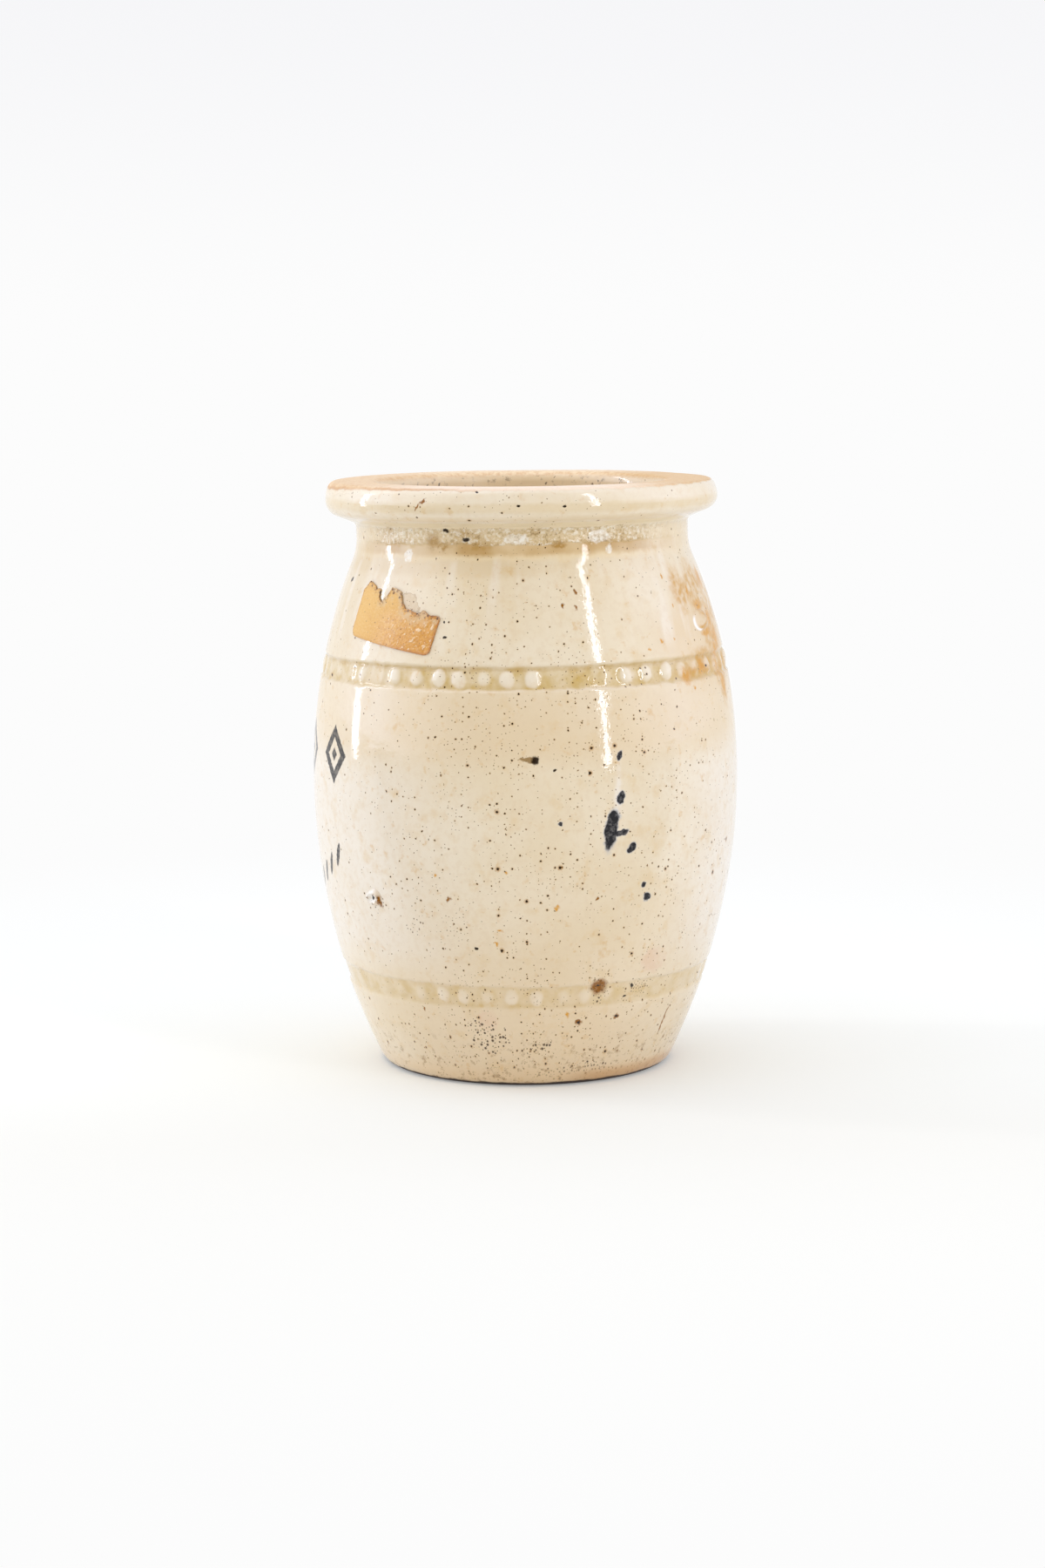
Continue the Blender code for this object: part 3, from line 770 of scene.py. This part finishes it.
class Glaze(Finish):
    """Cream salt glaze over stoneware, painted from the ground up; along and across in millimetres."""

    def __init__(self):
        super().__init__("salt_glaze")
        self.place = self.node("TexCoord").outputs["Object"]
        unrolled = self.node("UVMap", uv_map="unrolled").outputs["UV"]
        self.flat = self.vector("SCALE", unrolled, MAP_SPAN / MM)
        split = self.node("SeparateXYZ", {0: self.flat}).outputs
        self.across, self.along = split["X"], split["Y"]
        self.sideways = self.calc("ABSOLUTE", self.across)
        self.cloud = self.noise(self.place, 12 * MM, 3.0)
        self.mottle = self.noise(self.place, 2.6 * MM, 3.0, 0.6)
        self.fine = self.noise(self.place, 0.55 * MM, 2.0, 0.65)
        self.torn = self.shaken(self.flat, self.place, 0.7 * MM, 1.1)
        self.soft = self.shaken(self.flat, self.place, 1.0 * MM, 0.85)

    def spot(self, place, turn, height, wide, tall, lean):
        """1 in the middle of an oval on the unrolled wall, falling evenly to 0 at its edge."""
        stretch = BELLY_RADIUS / float(outer_radius(min(height * MM, NECK_HEIGHT)))
        middle = (math.radians(turn) * BELLY_RADIUS / MM, along_mm(height), 0)
        scale = (wide / 2 * stretch, tall / 2, 1)
        rotation = (0, 0, math.radians(lean))
        inputs = {"Vector": place, "Location": middle, "Rotation": rotation, "Scale": scale}
        mapped = self.node("Mapping", inputs, vector_type="TEXTURE").outputs[0]
        return self.node("TexGradient", {"Vector": mapped}, gradient_type="SPHERICAL").outputs["Fac"]

    def spots(self, marks, place=None):
        """The most of several such ovals, with torn edges unless another map is given."""
        return self.most([self.spot(place or self.torn, *mark) for mark in marks])

    def between(self, low, high, soft, wander=0.0):
        """1 between two heights on the outside, with soft edges that may wander with the mottle."""
        level = self.along
        if wander:
            shift = self.calc("MULTIPLY_ADD", self.mottle, wander, -wander / 2)
            level = self.calc("ADD", level, shift)
        low, high = along_mm(low), along_mm(high)
        return self.times(self.step(level, low - soft, low), self.step(level, high + soft, high))

    def stain(self, marks, edge, colour, most, texture=None, place=None):
        """Paints several ovals that rise to full over their edge, uneven by a step of noise if given."""
        share = self.step(self.spots(marks, place), *edge)
        if texture:
            share = self.times(share, self.step(*texture, 1.0))
        self.lay(share, colour, most)

    def ground(self):
        """Cloudy cream, warm near the foot and over the belly, with mottles and runs.

        Painted light: shade low at the front and on the left shoulder, paler sides, a pale streak of
        reflection below the right highlight, and a sheen on the pale runs.
        """
        self.colour = self.paint(self.step(self.cloud, 0.3, 0.7), srgb(233, 216, 183), srgb(228, 208, 170))
        # Painted shade: the lower front is painted darker, as where less light reaches it.
        low_front_shade = self.times(self.step(self.along, 36, 2), self.step(self.sideways, 30, 10, 0.25, 1.0))
        self.lay(low_front_shade, srgb(226, 200, 158), 0.8)
        # Painted light: the belly's sides, left and right of the front, are painted paler as if lit more
        # strongly.
        beside = self.most([self.step(self.across, -4, -26), self.step(self.across, 16, 36)])
        beside = self.times(beside, self.step(self.sideways, 46, 66, 1.0, 0.35))
        self.lay(self.times(beside, self.between(22, 43, 9)), srgb(238, 228, 211), 0.46)
        self.lay(self.between(50, 55.5, 5), srgb(222, 192, 146), 0.35)
        # Painted shade: the left shoulder is painted darker to hold down the light it gets from above and
        # from the left lamp.
        left_shoulder_shade = self.times(self.step(self.across, -22, -34), self.between(62, 74, 4))
        self.lay(left_shoulder_shade, srgb(222, 200, 162), 0.45)
        self.stain(WIDE_STAIN, (0.0, 0.6), srgb(212, 168, 96), 0.34, place=self.soft)
        below_neck = self.times(self.between(73.2, 75.5, 1.5), self.step(self.across, 6, -2))
        self.lay(below_neck, srgb(214, 186, 138), 0.4)
        # Painted reflection: the faint pale streak below the right lamp's highlight.
        self.stain(PAINTED_REFLECTION_STREAK, (0.0, 0.8), srgb(244, 236, 222), 0.45, place=self.soft)
        self.lay(self.step(self.mottle, 0.52, 0.75), srgb(220, 188, 134), 0.4)
        self.lay(self.step(self.noise(self.place, 1.5 * MM, 3.0, 0.6), 0.58, 0.76), srgb(208, 156, 74), 0.38)
        # Pale runs of glaze down the shoulder, partly a painted sheen where their ridges would catch the
        # light.
        stretched = self.node("Mapping", {"Vector": self.flat, "Scale": (0.34, 0.05, 1)}).outputs[0]
        runs = self.step(self.noise(stretched, 1.0, 2.0), 0.5, 0.72)
        runs = self.times(runs, self.between(65, 74.5, 5), self.step(self.cloud, 0.4, 0.6))
        self.lay(runs, srgb(243, 233, 214), 0.42)
        self.lay(self.step(self.noise(self.place, 0.9 * MM, 2.0, 0.6), 0.45, 0.7), srgb(222, 198, 160), 0.3)

    def bands(self, recess, bead):
        """Glaze pools in the bands, more under the upper band's top edge, and is thin on the beads.

        The darker line under that edge is pooled glaze and painted shade from the ledge above.
        """
        pooled = self.times(recess, self.step(bead, 0.55, 0.1))
        cloudy = self.step(self.mottle, 0.3, 0.7, 0.35, 1.0)
        self.lay(self.times(pooled, cloudy), srgb(195, 157, 60), 0.66)
        upper = UPPER_BAND["height"] / MM + BAND_WIDTH / MM / 2
        # Pooled glaze and painted shade: a darker line just under the upper band's top edge, as if shadowed
        # by the ledge.
        under_edge_pool_and_shade = self.times(self.between(upper - 0.7, upper - 0.35, 0.3, 0.8), cloudy)
        self.lay(under_edge_pool_and_shade, srgb(186, 150, 92), 0.4)
        self.lay(self.step(bead, 0.1, 0.9), srgb(240, 229, 206), 0.36)

    def neck(self):
        """The tying groove: glossy and yellow where glaze pooled, painted lighter under the rim to offset its
        shade, olive below, grainy and pale between.
        """
        patchy = self.step(self.noise(self.place, 6 * MM, 2.0), 0.35, 0.62, 0.4, 1.0)
        front = self.calc("ABSOLUTE", self.calc("SUBTRACT", self.across, -2.0))
        patchy = self.times(patchy, self.step(front, 42, 12, 0.1, 1.0))
        # Yellow pooled glaze under the rim, painted lighter to offset the shade there.
        self.lay(self.between(79.2, 79.7, 0.4), srgb(232, 211, 166), 0.8)
        pooled = self.times(self.between(75.3, 79.0, 1.2, 1.6), self.step(front, 36, 12, 0.35, 1.0))
        self.lay(pooled, srgb(236, 212, 166), 0.8)
        self.lay(self.times(self.between(75.7, 76.7, 0.9, 1.4), patchy), srgb(182, 136, 62), 0.8)
        crystals = self.times(self.between(76.9, 78.9, 0.3, 1.0), self.step(front, 33, 25, 0.25, 1.0))
        self.lay(self.times(crystals, patchy), srgb(190, 160, 108), 0.5)
        golden = self.step(self.noise(self.place, 2.2 * MM, 2.0), 0.5, 0.7)
        golden = self.times(self.between(76.4, 78.9, 0.6, 1.2), golden, patchy)
        self.lay(golden, srgb(180, 138, 66), 0.6)
        self.lay(self.times(crystals, self.step(self.fine, 0.48, 0.66)), srgb(244, 233, 206), 0.65)
        self.lay(self.times(crystals, self.step(self.fine, 0.44, 0.34), patchy), srgb(146, 114, 62), 0.65)
        return crystals

    def rim(self):
        """Two faint olive lines and a pale one round the rim's face."""
        for low, high, soft, wander, colour, most in (
            (81.7, 82.4, 0.7, 1.2, srgb(220, 194, 146), 0.4),
            (83.2, 84.4, 0.5, 0.6, srgb(241, 225, 198), 0.22),
            (80.2, 80.6, 0.5, 0.8, srgb(220, 198, 156), 0.35),
        ):
            self.lay(self.between(low, high, soft, wander), colour, most)

    def stains(self):
        """Orange blushes and marks, pink ghosts, pale and golden marks, a film of gum, and rust."""
        grains = self.times(self.step(self.noise(self.place, 1.1 * MM, 1.0), 0.3, 0.62, 0.35, 1.0),
                            self.step(self.mottle, 0.3, 0.6, 0.4, 1.0))
        self.lay(self.times(self.step(self.spots(BLUSHES), 0.0, 0.7), grains), srgb(200, 144, 32), 0.86)
        self.stain(ORANGE_MARKS, (0.0, 0.8), srgb(208, 142, 0), 0.97, (self.fine, 0.3, 0.55, 0.6))
        self.lay(self.attribute("rind"), srgb(200, 140, 0), 0.95)
        # Painted highlight: the pale crescent on the lumps.
        self.lay(self.attribute("painted_glint"), srgb(252, 247, 236), 0.85)
        self.stain(PINK_GHOSTS, (0.1, 0.45), srgb(222, 180, 148), 0.4, (self.mottle, 0.35, 0.6, 0.3))
        self.stain(PALE_MARKS, (0.05, 0.4), srgb(248, 242, 226), 0.7, (self.fine, 0.34, 0.6, 0.4))
        self.stain(GOLDEN_MARKS, (0.0, 0.7), srgb(166, 120, 36), 0.75, (self.fine, 0.3, 0.6, 0.3))
        self.stain(GUM_FILM, (0.0, 0.12), srgb(204, 174, 128), 0.55, (self.fine, 0.3, 0.6, 0.6))
        film = self.spots(GUM_FILM)
        self.lay(self.times(self.step(film, 0.0, 0.06), self.step(film, 0.24, 0.1)), srgb(150, 112, 66), 0.3)
        self.stain(RUST_SPOTS, (0.0, 0.6), srgb(140, 84, 0), 1.0, (self.fine, 0.3, 0.6, 0.8))

    def crowding(self):
        """How densely specks stand: fewer high up, to the left and right, and none on the floor inside."""
        crowd = self.times(self.step(self.along, 95, 40, 0.45, 1.0),
                           self.step(self.along, FLOOR_EDGE, FLOOR_EDGE - 8),
                           self.step(self.noise(self.place, 5 * MM, 2.0), 0.36, 0.62, 0.15, 1.0),
                           self.step(self.across, -28, -6, 0.25, 1.0))
        right = self.times(self.step(self.across, 12, 26), self.step(self.along, 30, 60, 0.35, 0.7))
        shoulder = self.times(self.step(self.across, 2, 16), self.step(self.along, 56, 64), 0.75)
        return self.times(crowd, self.calc("SUBTRACT", 1.0, self.most([right, shoulder])))

    def iron(self):
        """Iron specks, in clusters first and then scattered from small to large, a smear and single spots."""
        place = self.shaken(self.flat, self.place, 0.3 * MM, 0.22)
        clusters = self.step(self.spots(SPECK_CLUSTERS), 0.0, 0.6, 0.0, 0.9)
        faint = self.step(self.spots(FAINT_CLUSTERS), 0.0, 0.6, 0.0, 0.8)
        crowd = self.crowding()
        dust = self.times(crowd, 0.38)
        near_foot = self.times(crowd, self.step(self.along, 14, 4, 1.0, 2.3))
        some = self.times(near_foot, 0.28)
        few = self.times(near_foot, self.step(self.along, 12, 6, 0.24, 0.7))
        for spacing, presence, least, largest, colour, most in (
            (0.66, clusters, 0.08, 0.29, srgb(58, 34, 6), 0.92),
            (0.5, faint, 0.07, 0.16, srgb(96, 62, 26), 0.85),
            (0.55, dust, 0.05, 0.10, srgb(112, 72, 26), 0.85),
            (1.0, some, 0.16, 0.28, srgb(200, 152, 80), 0.4),
            (1.0, some, 0.09, 0.165, srgb(34, 18, 2), 0.97),
            (4.2, few, 0.30, 0.50, srgb(190, 134, 60), 0.45),
            (4.2, few, 0.16, 0.27, srgb(36, 20, 4), 0.97),
        ):
            self.lay(self.specks(place, spacing, presence, least, largest), colour, most)
        self.stain(SMEARS, (0.0, 0.5), srgb(140, 106, 52), 0.85, place=self.soft)
        self.stain(IRON_SPOTS, (0.1, 0.5), srgb(34, 20, 6), 0.97, place=self.soft)

    def ornament(self):
        """Share of ink: a row of outlined lozenges with a core, and a bowed row of slanted drops below."""
        end = math.radians(ORNAMENT_END) * BELLY_RADIUS / MM
        split = self.node("SeparateXYZ", {0: self.shaken(self.flat, self.place, 0.5 * MM, 0.35)}).outputs
        x, y = self.calc("SUBTRACT", split["X"], end), split["Y"]
        half = LOZENGE_PITCH / 2
        aside = self.calc("ABSOLUTE", self.calc("WRAP", x, half, -half))
        above = self.calc("ABSOLUTE", self.calc("SUBTRACT", y, along_mm(LOZENGE_HEIGHT)))
        size = self.calc("ADD", self.calc("DIVIDE", aside, LOZENGE_HALF_WIDTH),
                         self.calc("DIVIDE", above, LOZENGE_HALF_HEIGHT))
        ring = self.times(self.step(size, 1.02, 0.94), self.step(size, 0.52, 0.60))
        lozenges = self.calc("MAXIMUM", ring, self.step(size, 0.28, 0.20))
        span = (LOZENGE_COUNT - 1) * LOZENGE_PITCH
        lozenges = self.times(lozenges, self.step(x, -span - half - 0.1, -span - half + 0.1),
                              self.step(x, half + 0.1, half - 0.1))
        out = self.calc("DIVIDE", self.calc("ADD", x, span / 2), span / 2)
        bow = self.calc("MULTIPLY_ADD", self.times(out, out), DROP_BOW, along_mm(DROP_HEIGHT))
        rise = self.calc("SUBTRACT", y, bow)
        lean = self.calc("MULTIPLY_ADD", rise, -DROP_SLANT, x)
        aside = self.calc("WRAP", lean, DROP_PITCH / 2, -DROP_PITCH / 2)
        aside = self.calc("DIVIDE", aside, DROP_HALF_WIDTH)
        tall = self.calc("DIVIDE", rise, DROP_HALF_HEIGHT)
        size = self.calc("ADD", self.times(aside, aside), self.times(tall, tall))
        drops = self.times(self.step(size, 1.1, 0.75), self.step(lean, -span - 1.6, -span - 1.5),
                           self.step(lean, 1.6, 1.5))
        return self.calc("MAXIMUM", lozenges, drops)

    def ink(self):
        """Blue-black ink under the glaze, uneven and with a thin bluish edge."""
        blots = self.spots(INK_BLOTS, self.soft)
        drawn = self.ornament()
        self.lay(self.step(blots, 0.0, 0.3), srgb(150, 158, 172), 0.5)
        solid = self.most([self.step(blots, 0.16, 0.36), drawn])
        uneven = self.step(self.fine, 0.3, 0.6, 0.8, 0.97)
        self.lay(self.times(solid, uneven), srgb(20, 20, 26))

    def lip(self):
        """The stained inside with dark spots, and bare clay on the lip with a line where the glaze ends.

        Returns the shares of bare clay and of thin glaze beside it.
        """
        start, inner = along_mm(HEIGHT / MM - 0.29), float(OUTLINE_ALONG[LIP_ROW]) / MM
        lower_at_left = self.step(self.across, -14, -50, 0.0, 0.8)
        wander = self.calc("ADD", self.calc("MULTIPLY_ADD", self.mottle, 1.0, -0.5), self.along)
        wander = self.calc("ADD", wander, lower_at_left)
        inside = self.step(self.along, inner + 0.9, inner + 1.9)
        self.lay(inside, srgb(240, 214, 172), 0.9)
        stained = self.step(self.noise(self.place, 1.0 * MM, 3.0, 0.6), 0.56, 0.72)
        self.lay(self.times(inside, stained), srgb(138, 112, 84), 0.62)
        dark = self.specks(self.torn, 1.9, self.times(inside, 0.42), 0.14, 0.40)
        self.lay(dark, srgb(92, 74, 56), 0.8)
        bare = self.step(wander, start - 0.15, start + 0.25)
        bare = self.times(bare, self.step(self.along, inner + 1.9, inner + 0.9))
        beside = self.step(self.sideways, 12, 34)
        clay = self.paint(self.step(self.across, -5, 5), srgb(232, 195, 142), srgb(218, 176, 112))
        clay = self.paint(beside, srgb(244, 217, 184), clay)
        clay = self.paint(self.step(self.sideways, 64, 86), clay, srgb(243, 212, 163))
        self.lay(bare, clay, 0.9)
        rough = self.step(self.noise(self.place, 0.8 * MM, 3.0, 0.7), 0.36, 0.66)
        self.lay(self.times(bare, rough, self.step(beside, 0.0, 1.0, 0.2, 1.0)), srgb(204, 146, 78), 0.5)
        line = self.times(self.step(wander, start - 0.25, start), self.step(wander, start + 0.6, start + 0.1))
        line = self.times(line, self.step(self.across, 4, -12), self.step(self.cloud, 0.3, 0.6, 0.3, 1.0))
        self.lay(line, srgb(198, 138, 72), 0.7)
        thin = self.times(self.step(wander, start - 1.3, start - 0.4), self.step(self.across, -8, -24))
        return bare, thin

    def foot(self):
        """Warm glaze, smudges and a browned edge above the foot, and the foot's bare brown clay, painted
        dark enough to stand also for the shadow where it meets the floor.
        """
        wander = self.calc("MULTIPLY_ADD", self.mottle, 1.6, self.along)
        self.lay(self.step(wander, 4.0, 0.6), srgb(232, 200, 152), 0.5)
        smudges = self.step(self.noise(self.place, 1.1 * MM, 3.0, 0.65), 0.54, 0.7)
        self.lay(self.times(smudges, self.step(self.along, 9, 3)), srgb(146, 104, 56), 0.5)
        browned = self.times(self.step(wander, 2.6, 0.8), self.step(self.across, 4, 16))
        self.lay(browned, srgb(196, 144, 84), 0.6)
        # Bare clay at the foot's edge, painted near black as painted shadow too, where the pot meets the
        # floor.
        bare = self.step(self.calc("MULTIPLY_ADD", self.mottle, 0.8, self.along), -0.25, -0.65)
        self.lay(bare, srgb(54, 36, 22))
        return bare

    def finish(self):
        """Paints the layers in order, sets gloss and fine relief, and returns the material."""
        self.ground()
        self.bands(self.attribute("recess"), self.attribute("bead"))
        crystals = self.neck()
        self.rim()
        self.stains()
        self.iron()
        self.ink()
        bare_lip, thin = self.lip()
        bare = self.most([self.times(bare_lip, 0.6), self.foot()])
        matt = self.most([bare, self.times(thin, 0.5)])
        gritty = self.times(self.most([crystals, bare]), self.fine)
        bump = self.bump(0.014 * MM, self.noise(self.place, 0.5 * MM, 2.0))
        bump = self.bump(0.03 * MM, self.noise(self.place, 2.4 * MM, 1.0), bump)
        bump = self.bump(0.15 * MM, gritty, bump)
        self.feed(self.shader.inputs["Base Color"], self.colour)
        self.feed(self.shader.inputs["Roughness"], self.step(matt, 0.0, 1.0, 0.06, 0.6))
        self.feed(self.shader.inputs["Normal"], bump)
        self.shader.inputs["IOR"].default_value = 1.5
        return self.material


def gummed_paper():
    """Orange-tan paper: lighter to the left, browned to the right, dark at worn edges and torn fibres."""
    f = Finish("gummed_paper")
    laid = f.vector("SCALE", f.node("UVMap", uv_map="laid").outputs["UV"], LABEL_SPAN)
    split = f.node("SeparateXYZ", {0: laid}).outputs
    names = ("edge", "tear", "crumb_glint", "fibre", "crumpled")
    edge, tear, crumb_glint, torn, crumpled = (f.attribute(name) for name in names)
    cloud = f.noise(laid, 2.4, 3.0, 0.6)
    fibre = f.noise(laid, 0.3, 2.0, 0.6)
    slope = f.calc("MULTIPLY_ADD", split["Y"], -0.9, split["X"])
    browned = f.step(f.calc("MULTIPLY_ADD", cloud, 6.0, slope), 2.0, 19.0)
    f.colour = f.paint(browned, srgb(224, 174, 88), srgb(211, 144, 40))
    f.lay(f.step(fibre, 0.35, 0.75), srgb(240, 206, 150), 0.28)
    f.lay(f.step(cloud, 0.55, 0.8), srgb(204, 142, 70), 0.4)
    mottle = f.step(f.noise(laid, 0.55, 2.0, 0.6), 0.45, 0.7)
    f.lay(f.times(mottle, crumpled), srgb(186, 120, 48), 0.5)
    f.lay(f.specks(laid, 0.5, f.times(crumpled, 0.5), 0.05, 0.12), srgb(244, 212, 158), 0.5)
    # Painted highlights: the raised crumbs are painted pale where they would glint.
    f.lay(f.step(crumb_glint, 0.2, 0.8, 0.0, 0.5), srgb(252, 230, 190))
    right = f.step(split["X"], 8.0, 16.0, 0.35, 1.0)
    worn = f.times(f.step(edge, 0.5, 0.05), right, f.step(fibre, 0.3, 0.6, 0.5, 1.0))
    f.lay(worn, srgb(176, 104, 40), 0.75)
    thinned = f.times(f.step(tear, 2.6, 0.4), f.step(f.noise(laid, 1.3, 3.0, 0.6), 0.40, 0.58))
    f.lay(f.times(thinned, f.step(split["X"], 5.0, 7.5)), srgb(216, 186, 140), 0.7)
    frayed = f.times(f.step(tear, 1.0, 0.0), f.step(f.noise(laid, 0.42, 3.0, 0.7), 0.45, 0.60))
    f.lay(frayed, srgb(130, 80, 36), 0.8)
    f.lay(f.step(torn, 0.3, 0.7, 0.0, 0.8), srgb(84, 52, 26))
    f.lay(f.specks(laid, 1.1, 0.5, 0.06, 0.17), srgb(112, 68, 30), 0.75)
    f.feed(f.shader.inputs["Base Color"], f.colour)
    f.feed(f.shader.inputs["Roughness"], f.step(crumpled, 0.0, 1.0, 0.6, 0.36))
    f.feed(f.shader.inputs["Normal"], f.bump(0.05 * MM, fibre, strength=0.8))
    return f.material


# Camera: its place, its tilt down in degrees, its roll in radians, and its lens and sensor in millimetres
CAMERA_PLACE = (-0.00044, -0.460, 0.10392)
CAMERA_TILT = 7.871
CAMERA_ROLL = -0.0049
CAMERA_LENS = 72.94
CAMERA_SENSOR = 36.0

# Light of the tent at the front, at the sides and behind, and how much brighter its sides are in reflections
TENT_FRONT = (0.53, 0.44, 0.22, 1)
TENT_LEFT = (1.50, 1.69, 2.22, 1)
TENT_RIGHT = (1.08, 1.20, 1.62, 1)
TENT_BACK = (0.97, 0.97, 0.97, 1)
SIDE_GLOSS = 0.5

# The backdrop, low and high, and what reflections show of the unlit room and floor in front
BACKDROP = srgb(252, 252, 252)
BACKDROP_ABOVE = srgb(246, 246, 248)
ROOM = (0.07, 0.06, 0.05, 1)
DIM_FLOOR = (0.20, 0.19, 0.17, 1)

# Floor: half its width, its tones behind and before the pot, its glow, and the tone of its bounced light
STAGE_REACH = 4.0
STAGE_BEHIND = (0.655, 0.63, 0.535, 1)
STAGE_BEFORE = (0.62, 0.585, 0.485, 1)
STAGE_GLOW = (0.25, 0.25, 0.25, 1)
STAGE_BOUNCE = (0.85, 0.85, 0.85, 1)

# Strip lamps: turn, distance from the axis, lower end, upper end, width and power
LAMP_TINT = (0.92, 0.97, 1.10)
LAMPS = {
    "strip_left": (-102.5, 0.45, 0.02, 0.49, 0.032, 0.48),
    "strip_right": (42.5, 0.45, 0.03, 0.49, 0.030, 0.58),
}


def aim_camera(scene):
    """The camera at the photograph's viewing angle, a little above the rim and looking slightly down."""
    camera = bpy.data.objects.new("camera", bpy.data.cameras.new("camera"))
    scene.collection.objects.link(camera)
    camera.data.sensor_fit = "VERTICAL"
    camera.data.sensor_height = CAMERA_SENSOR
    camera.data.lens = CAMERA_LENS
    camera.data.clip_start = 0.01
    tilt = Matrix.Rotation(math.radians(90 - CAMERA_TILT), 4, "X") @ Matrix.Rotation(CAMERA_ROLL, 4, "Z")
    camera.matrix_world = Matrix.Translation(CAMERA_PLACE) @ tilt
    scene.camera = camera


def light_world(scene):
    """A bright tent round the pot, dimmer at the front where the camera stands, and a pale backdrop.

    The backdrop shows to the camera, through glass, and in reflections of what is behind the pot. Reflections
    of what is in front show a dark room.
    """
    scene.world = bpy.data.worlds.new("studio")
    scene.world.use_nodes = True
    w = Nodes(scene.world.node_tree)
    direction = w.node("SeparateXYZ", {0: w.node("TexCoord").outputs["Generated"]}).outputs
    aside = w.calc("SUBTRACT", 1.0, w.calc("ABSOLUTE", direction["Y"]))
    ends = w.paint(w.step(direction["Y"], -0.5, 0.5), TENT_FRONT, TENT_BACK)
    fill = scene.world.node_tree.nodes["Background"]
    sides = w.paint(w.step(direction["X"], -0.4, 0.4), TENT_LEFT, TENT_RIGHT)
    path = w.node("LightPath").outputs
    front = w.times(path["Is Glossy Ray"], w.step(direction["Y"], -0.36, -0.85))
    w.feed(fill.inputs["Color"], w.paint(front, w.paint(aside, ends, sides), ROOM))
    shine = w.times(path["Is Glossy Ray"], aside)
    w.feed(fill.inputs["Strength"], w.calc("MULTIPLY_ADD", shine, SIDE_GLOSS, 1.0))
    shade = w.paint(w.step(direction["Z"], 0.0, 0.12), BACKDROP, BACKDROP_ABOVE)
    seen = w.node("Background", {"Color": shade})
    behind = w.times(path["Is Glossy Ray"], w.step(direction["Y"], 0.3, 0.8))
    looked_at = w.most([path["Is Camera Ray"], path["Is Transmission Ray"], behind])
    mix = w.node("MixShader", {0: looked_at, 1: fill.outputs[0], 2: seen.outputs[0]})
    w.feed(scene.world.node_tree.nodes["World Output"].inputs["Surface"], mix.outputs[0])


def hang_lamps(scene):
    """Two tall, slightly blue strip lamps, behind on the left and in front on the right: long highlights."""
    for name, (turn, distance, low, high, wide, power) in LAMPS.items():
        lamp = bpy.data.lights.new(name, "AREA")
        lamp.shape = "RECTANGLE"
        lamp.size = wide
        lamp.size_y = high - low
        lamp.energy = power
        lamp.color = LAMP_TINT
        holder = bpy.data.objects.new(name, lamp)
        scene.collection.objects.link(holder)
        angle = math.radians(turn)
        holder.location = (distance * math.sin(angle), -distance * math.cos(angle), (low + high) / 2)
        holder.rotation_euler = (math.radians(90), 0, math.radians(turn))


def lay_floor(scene):
    """A pale floor that keeps the pot's shadow near it and turns into the plain backdrop further off.

    Reflections show it dim in front of the pot, where the unlit room begins.
    """
    low, high = -STAGE_REACH, STAGE_REACH
    mesh = bpy.data.meshes.new("floor")
    mesh.from_pydata([(low, low, 0), (high, low, 0), (high, high, 0), (low, high, 0)], [], [(0, 1, 2, 3)])
    floor = bpy.data.objects.new("floor", mesh)
    scene.collection.objects.link(floor)
    f = Finish("pale_floor")
    f.shader.inputs["Base Color"].default_value = STAGE_BOUNCE
    f.shader.inputs["Roughness"].default_value = 0.9
    place = f.node("TexCoord").outputs["Object"]
    back = f.node("SeparateXYZ", {0: place}).outputs["Y"]
    away = f.node("VectorMath", {0: place}, operation="LENGTH").outputs["Value"]
    shaded = f.node("BsdfDiffuse", {"Color": f.paint(f.step(back, -0.01, -0.06), STAGE_BEHIND, STAGE_BEFORE)})
    glow = f.node("Emission", {"Color": STAGE_GLOW})
    near = f.node("AddShader", {0: shaded.outputs[0], 1: glow.outputs[0]})
    plain = f.node("Emission", {"Color": BACKDROP})
    look = f.node("MixShader", {0: f.step(away, 0.05, 0.22), 1: near.outputs[0], 2: plain.outputs[0]})
    path = f.node("LightPath").outputs
    dim = f.node("Emission", {"Color": DIM_FLOOR})
    mirrored = f.times(path["Is Glossy Ray"], f.step(back, -0.024, -0.052))
    look = f.node("MixShader", {0: mirrored, 1: look.outputs[0], 2: dim.outputs[0]})
    looked_at = f.most([path["Is Camera Ray"], path["Is Glossy Ray"], path["Is Transmission Ray"]])
    both = f.node("MixShader", {0: looked_at, 1: f.shader.outputs[0], 2: look.outputs[0]})
    f.feed(f.tree.nodes["Material Output"].inputs["Surface"], both.outputs[0])
    mesh.materials.append(f.material)


salt_glaze = Glaze().finish()
make_pot(salt_glaze)
make_lump("glaze_blister", salt_glaze, turn=64.6, height=65.0 * MM, half_width=2.6 * MM,
          half_height=1.75 * MM, rise=0.42 * MM, dent=0.06 * MM, rust=1.0)
make_lump("kiln_grit", salt_glaze, turn=-46.2, height=27.3 * MM, half_width=1.6 * MM,
          half_height=1.4 * MM, rise=0.65 * MM, dent=0.5 * MM, rust=0.15)
make_label(gummed_paper())

stage = bpy.context.scene
stage.view_settings.view_transform = "Standard"
aim_camera(stage)
light_world(stage)
hang_lamps(stage)
lay_floor(stage)
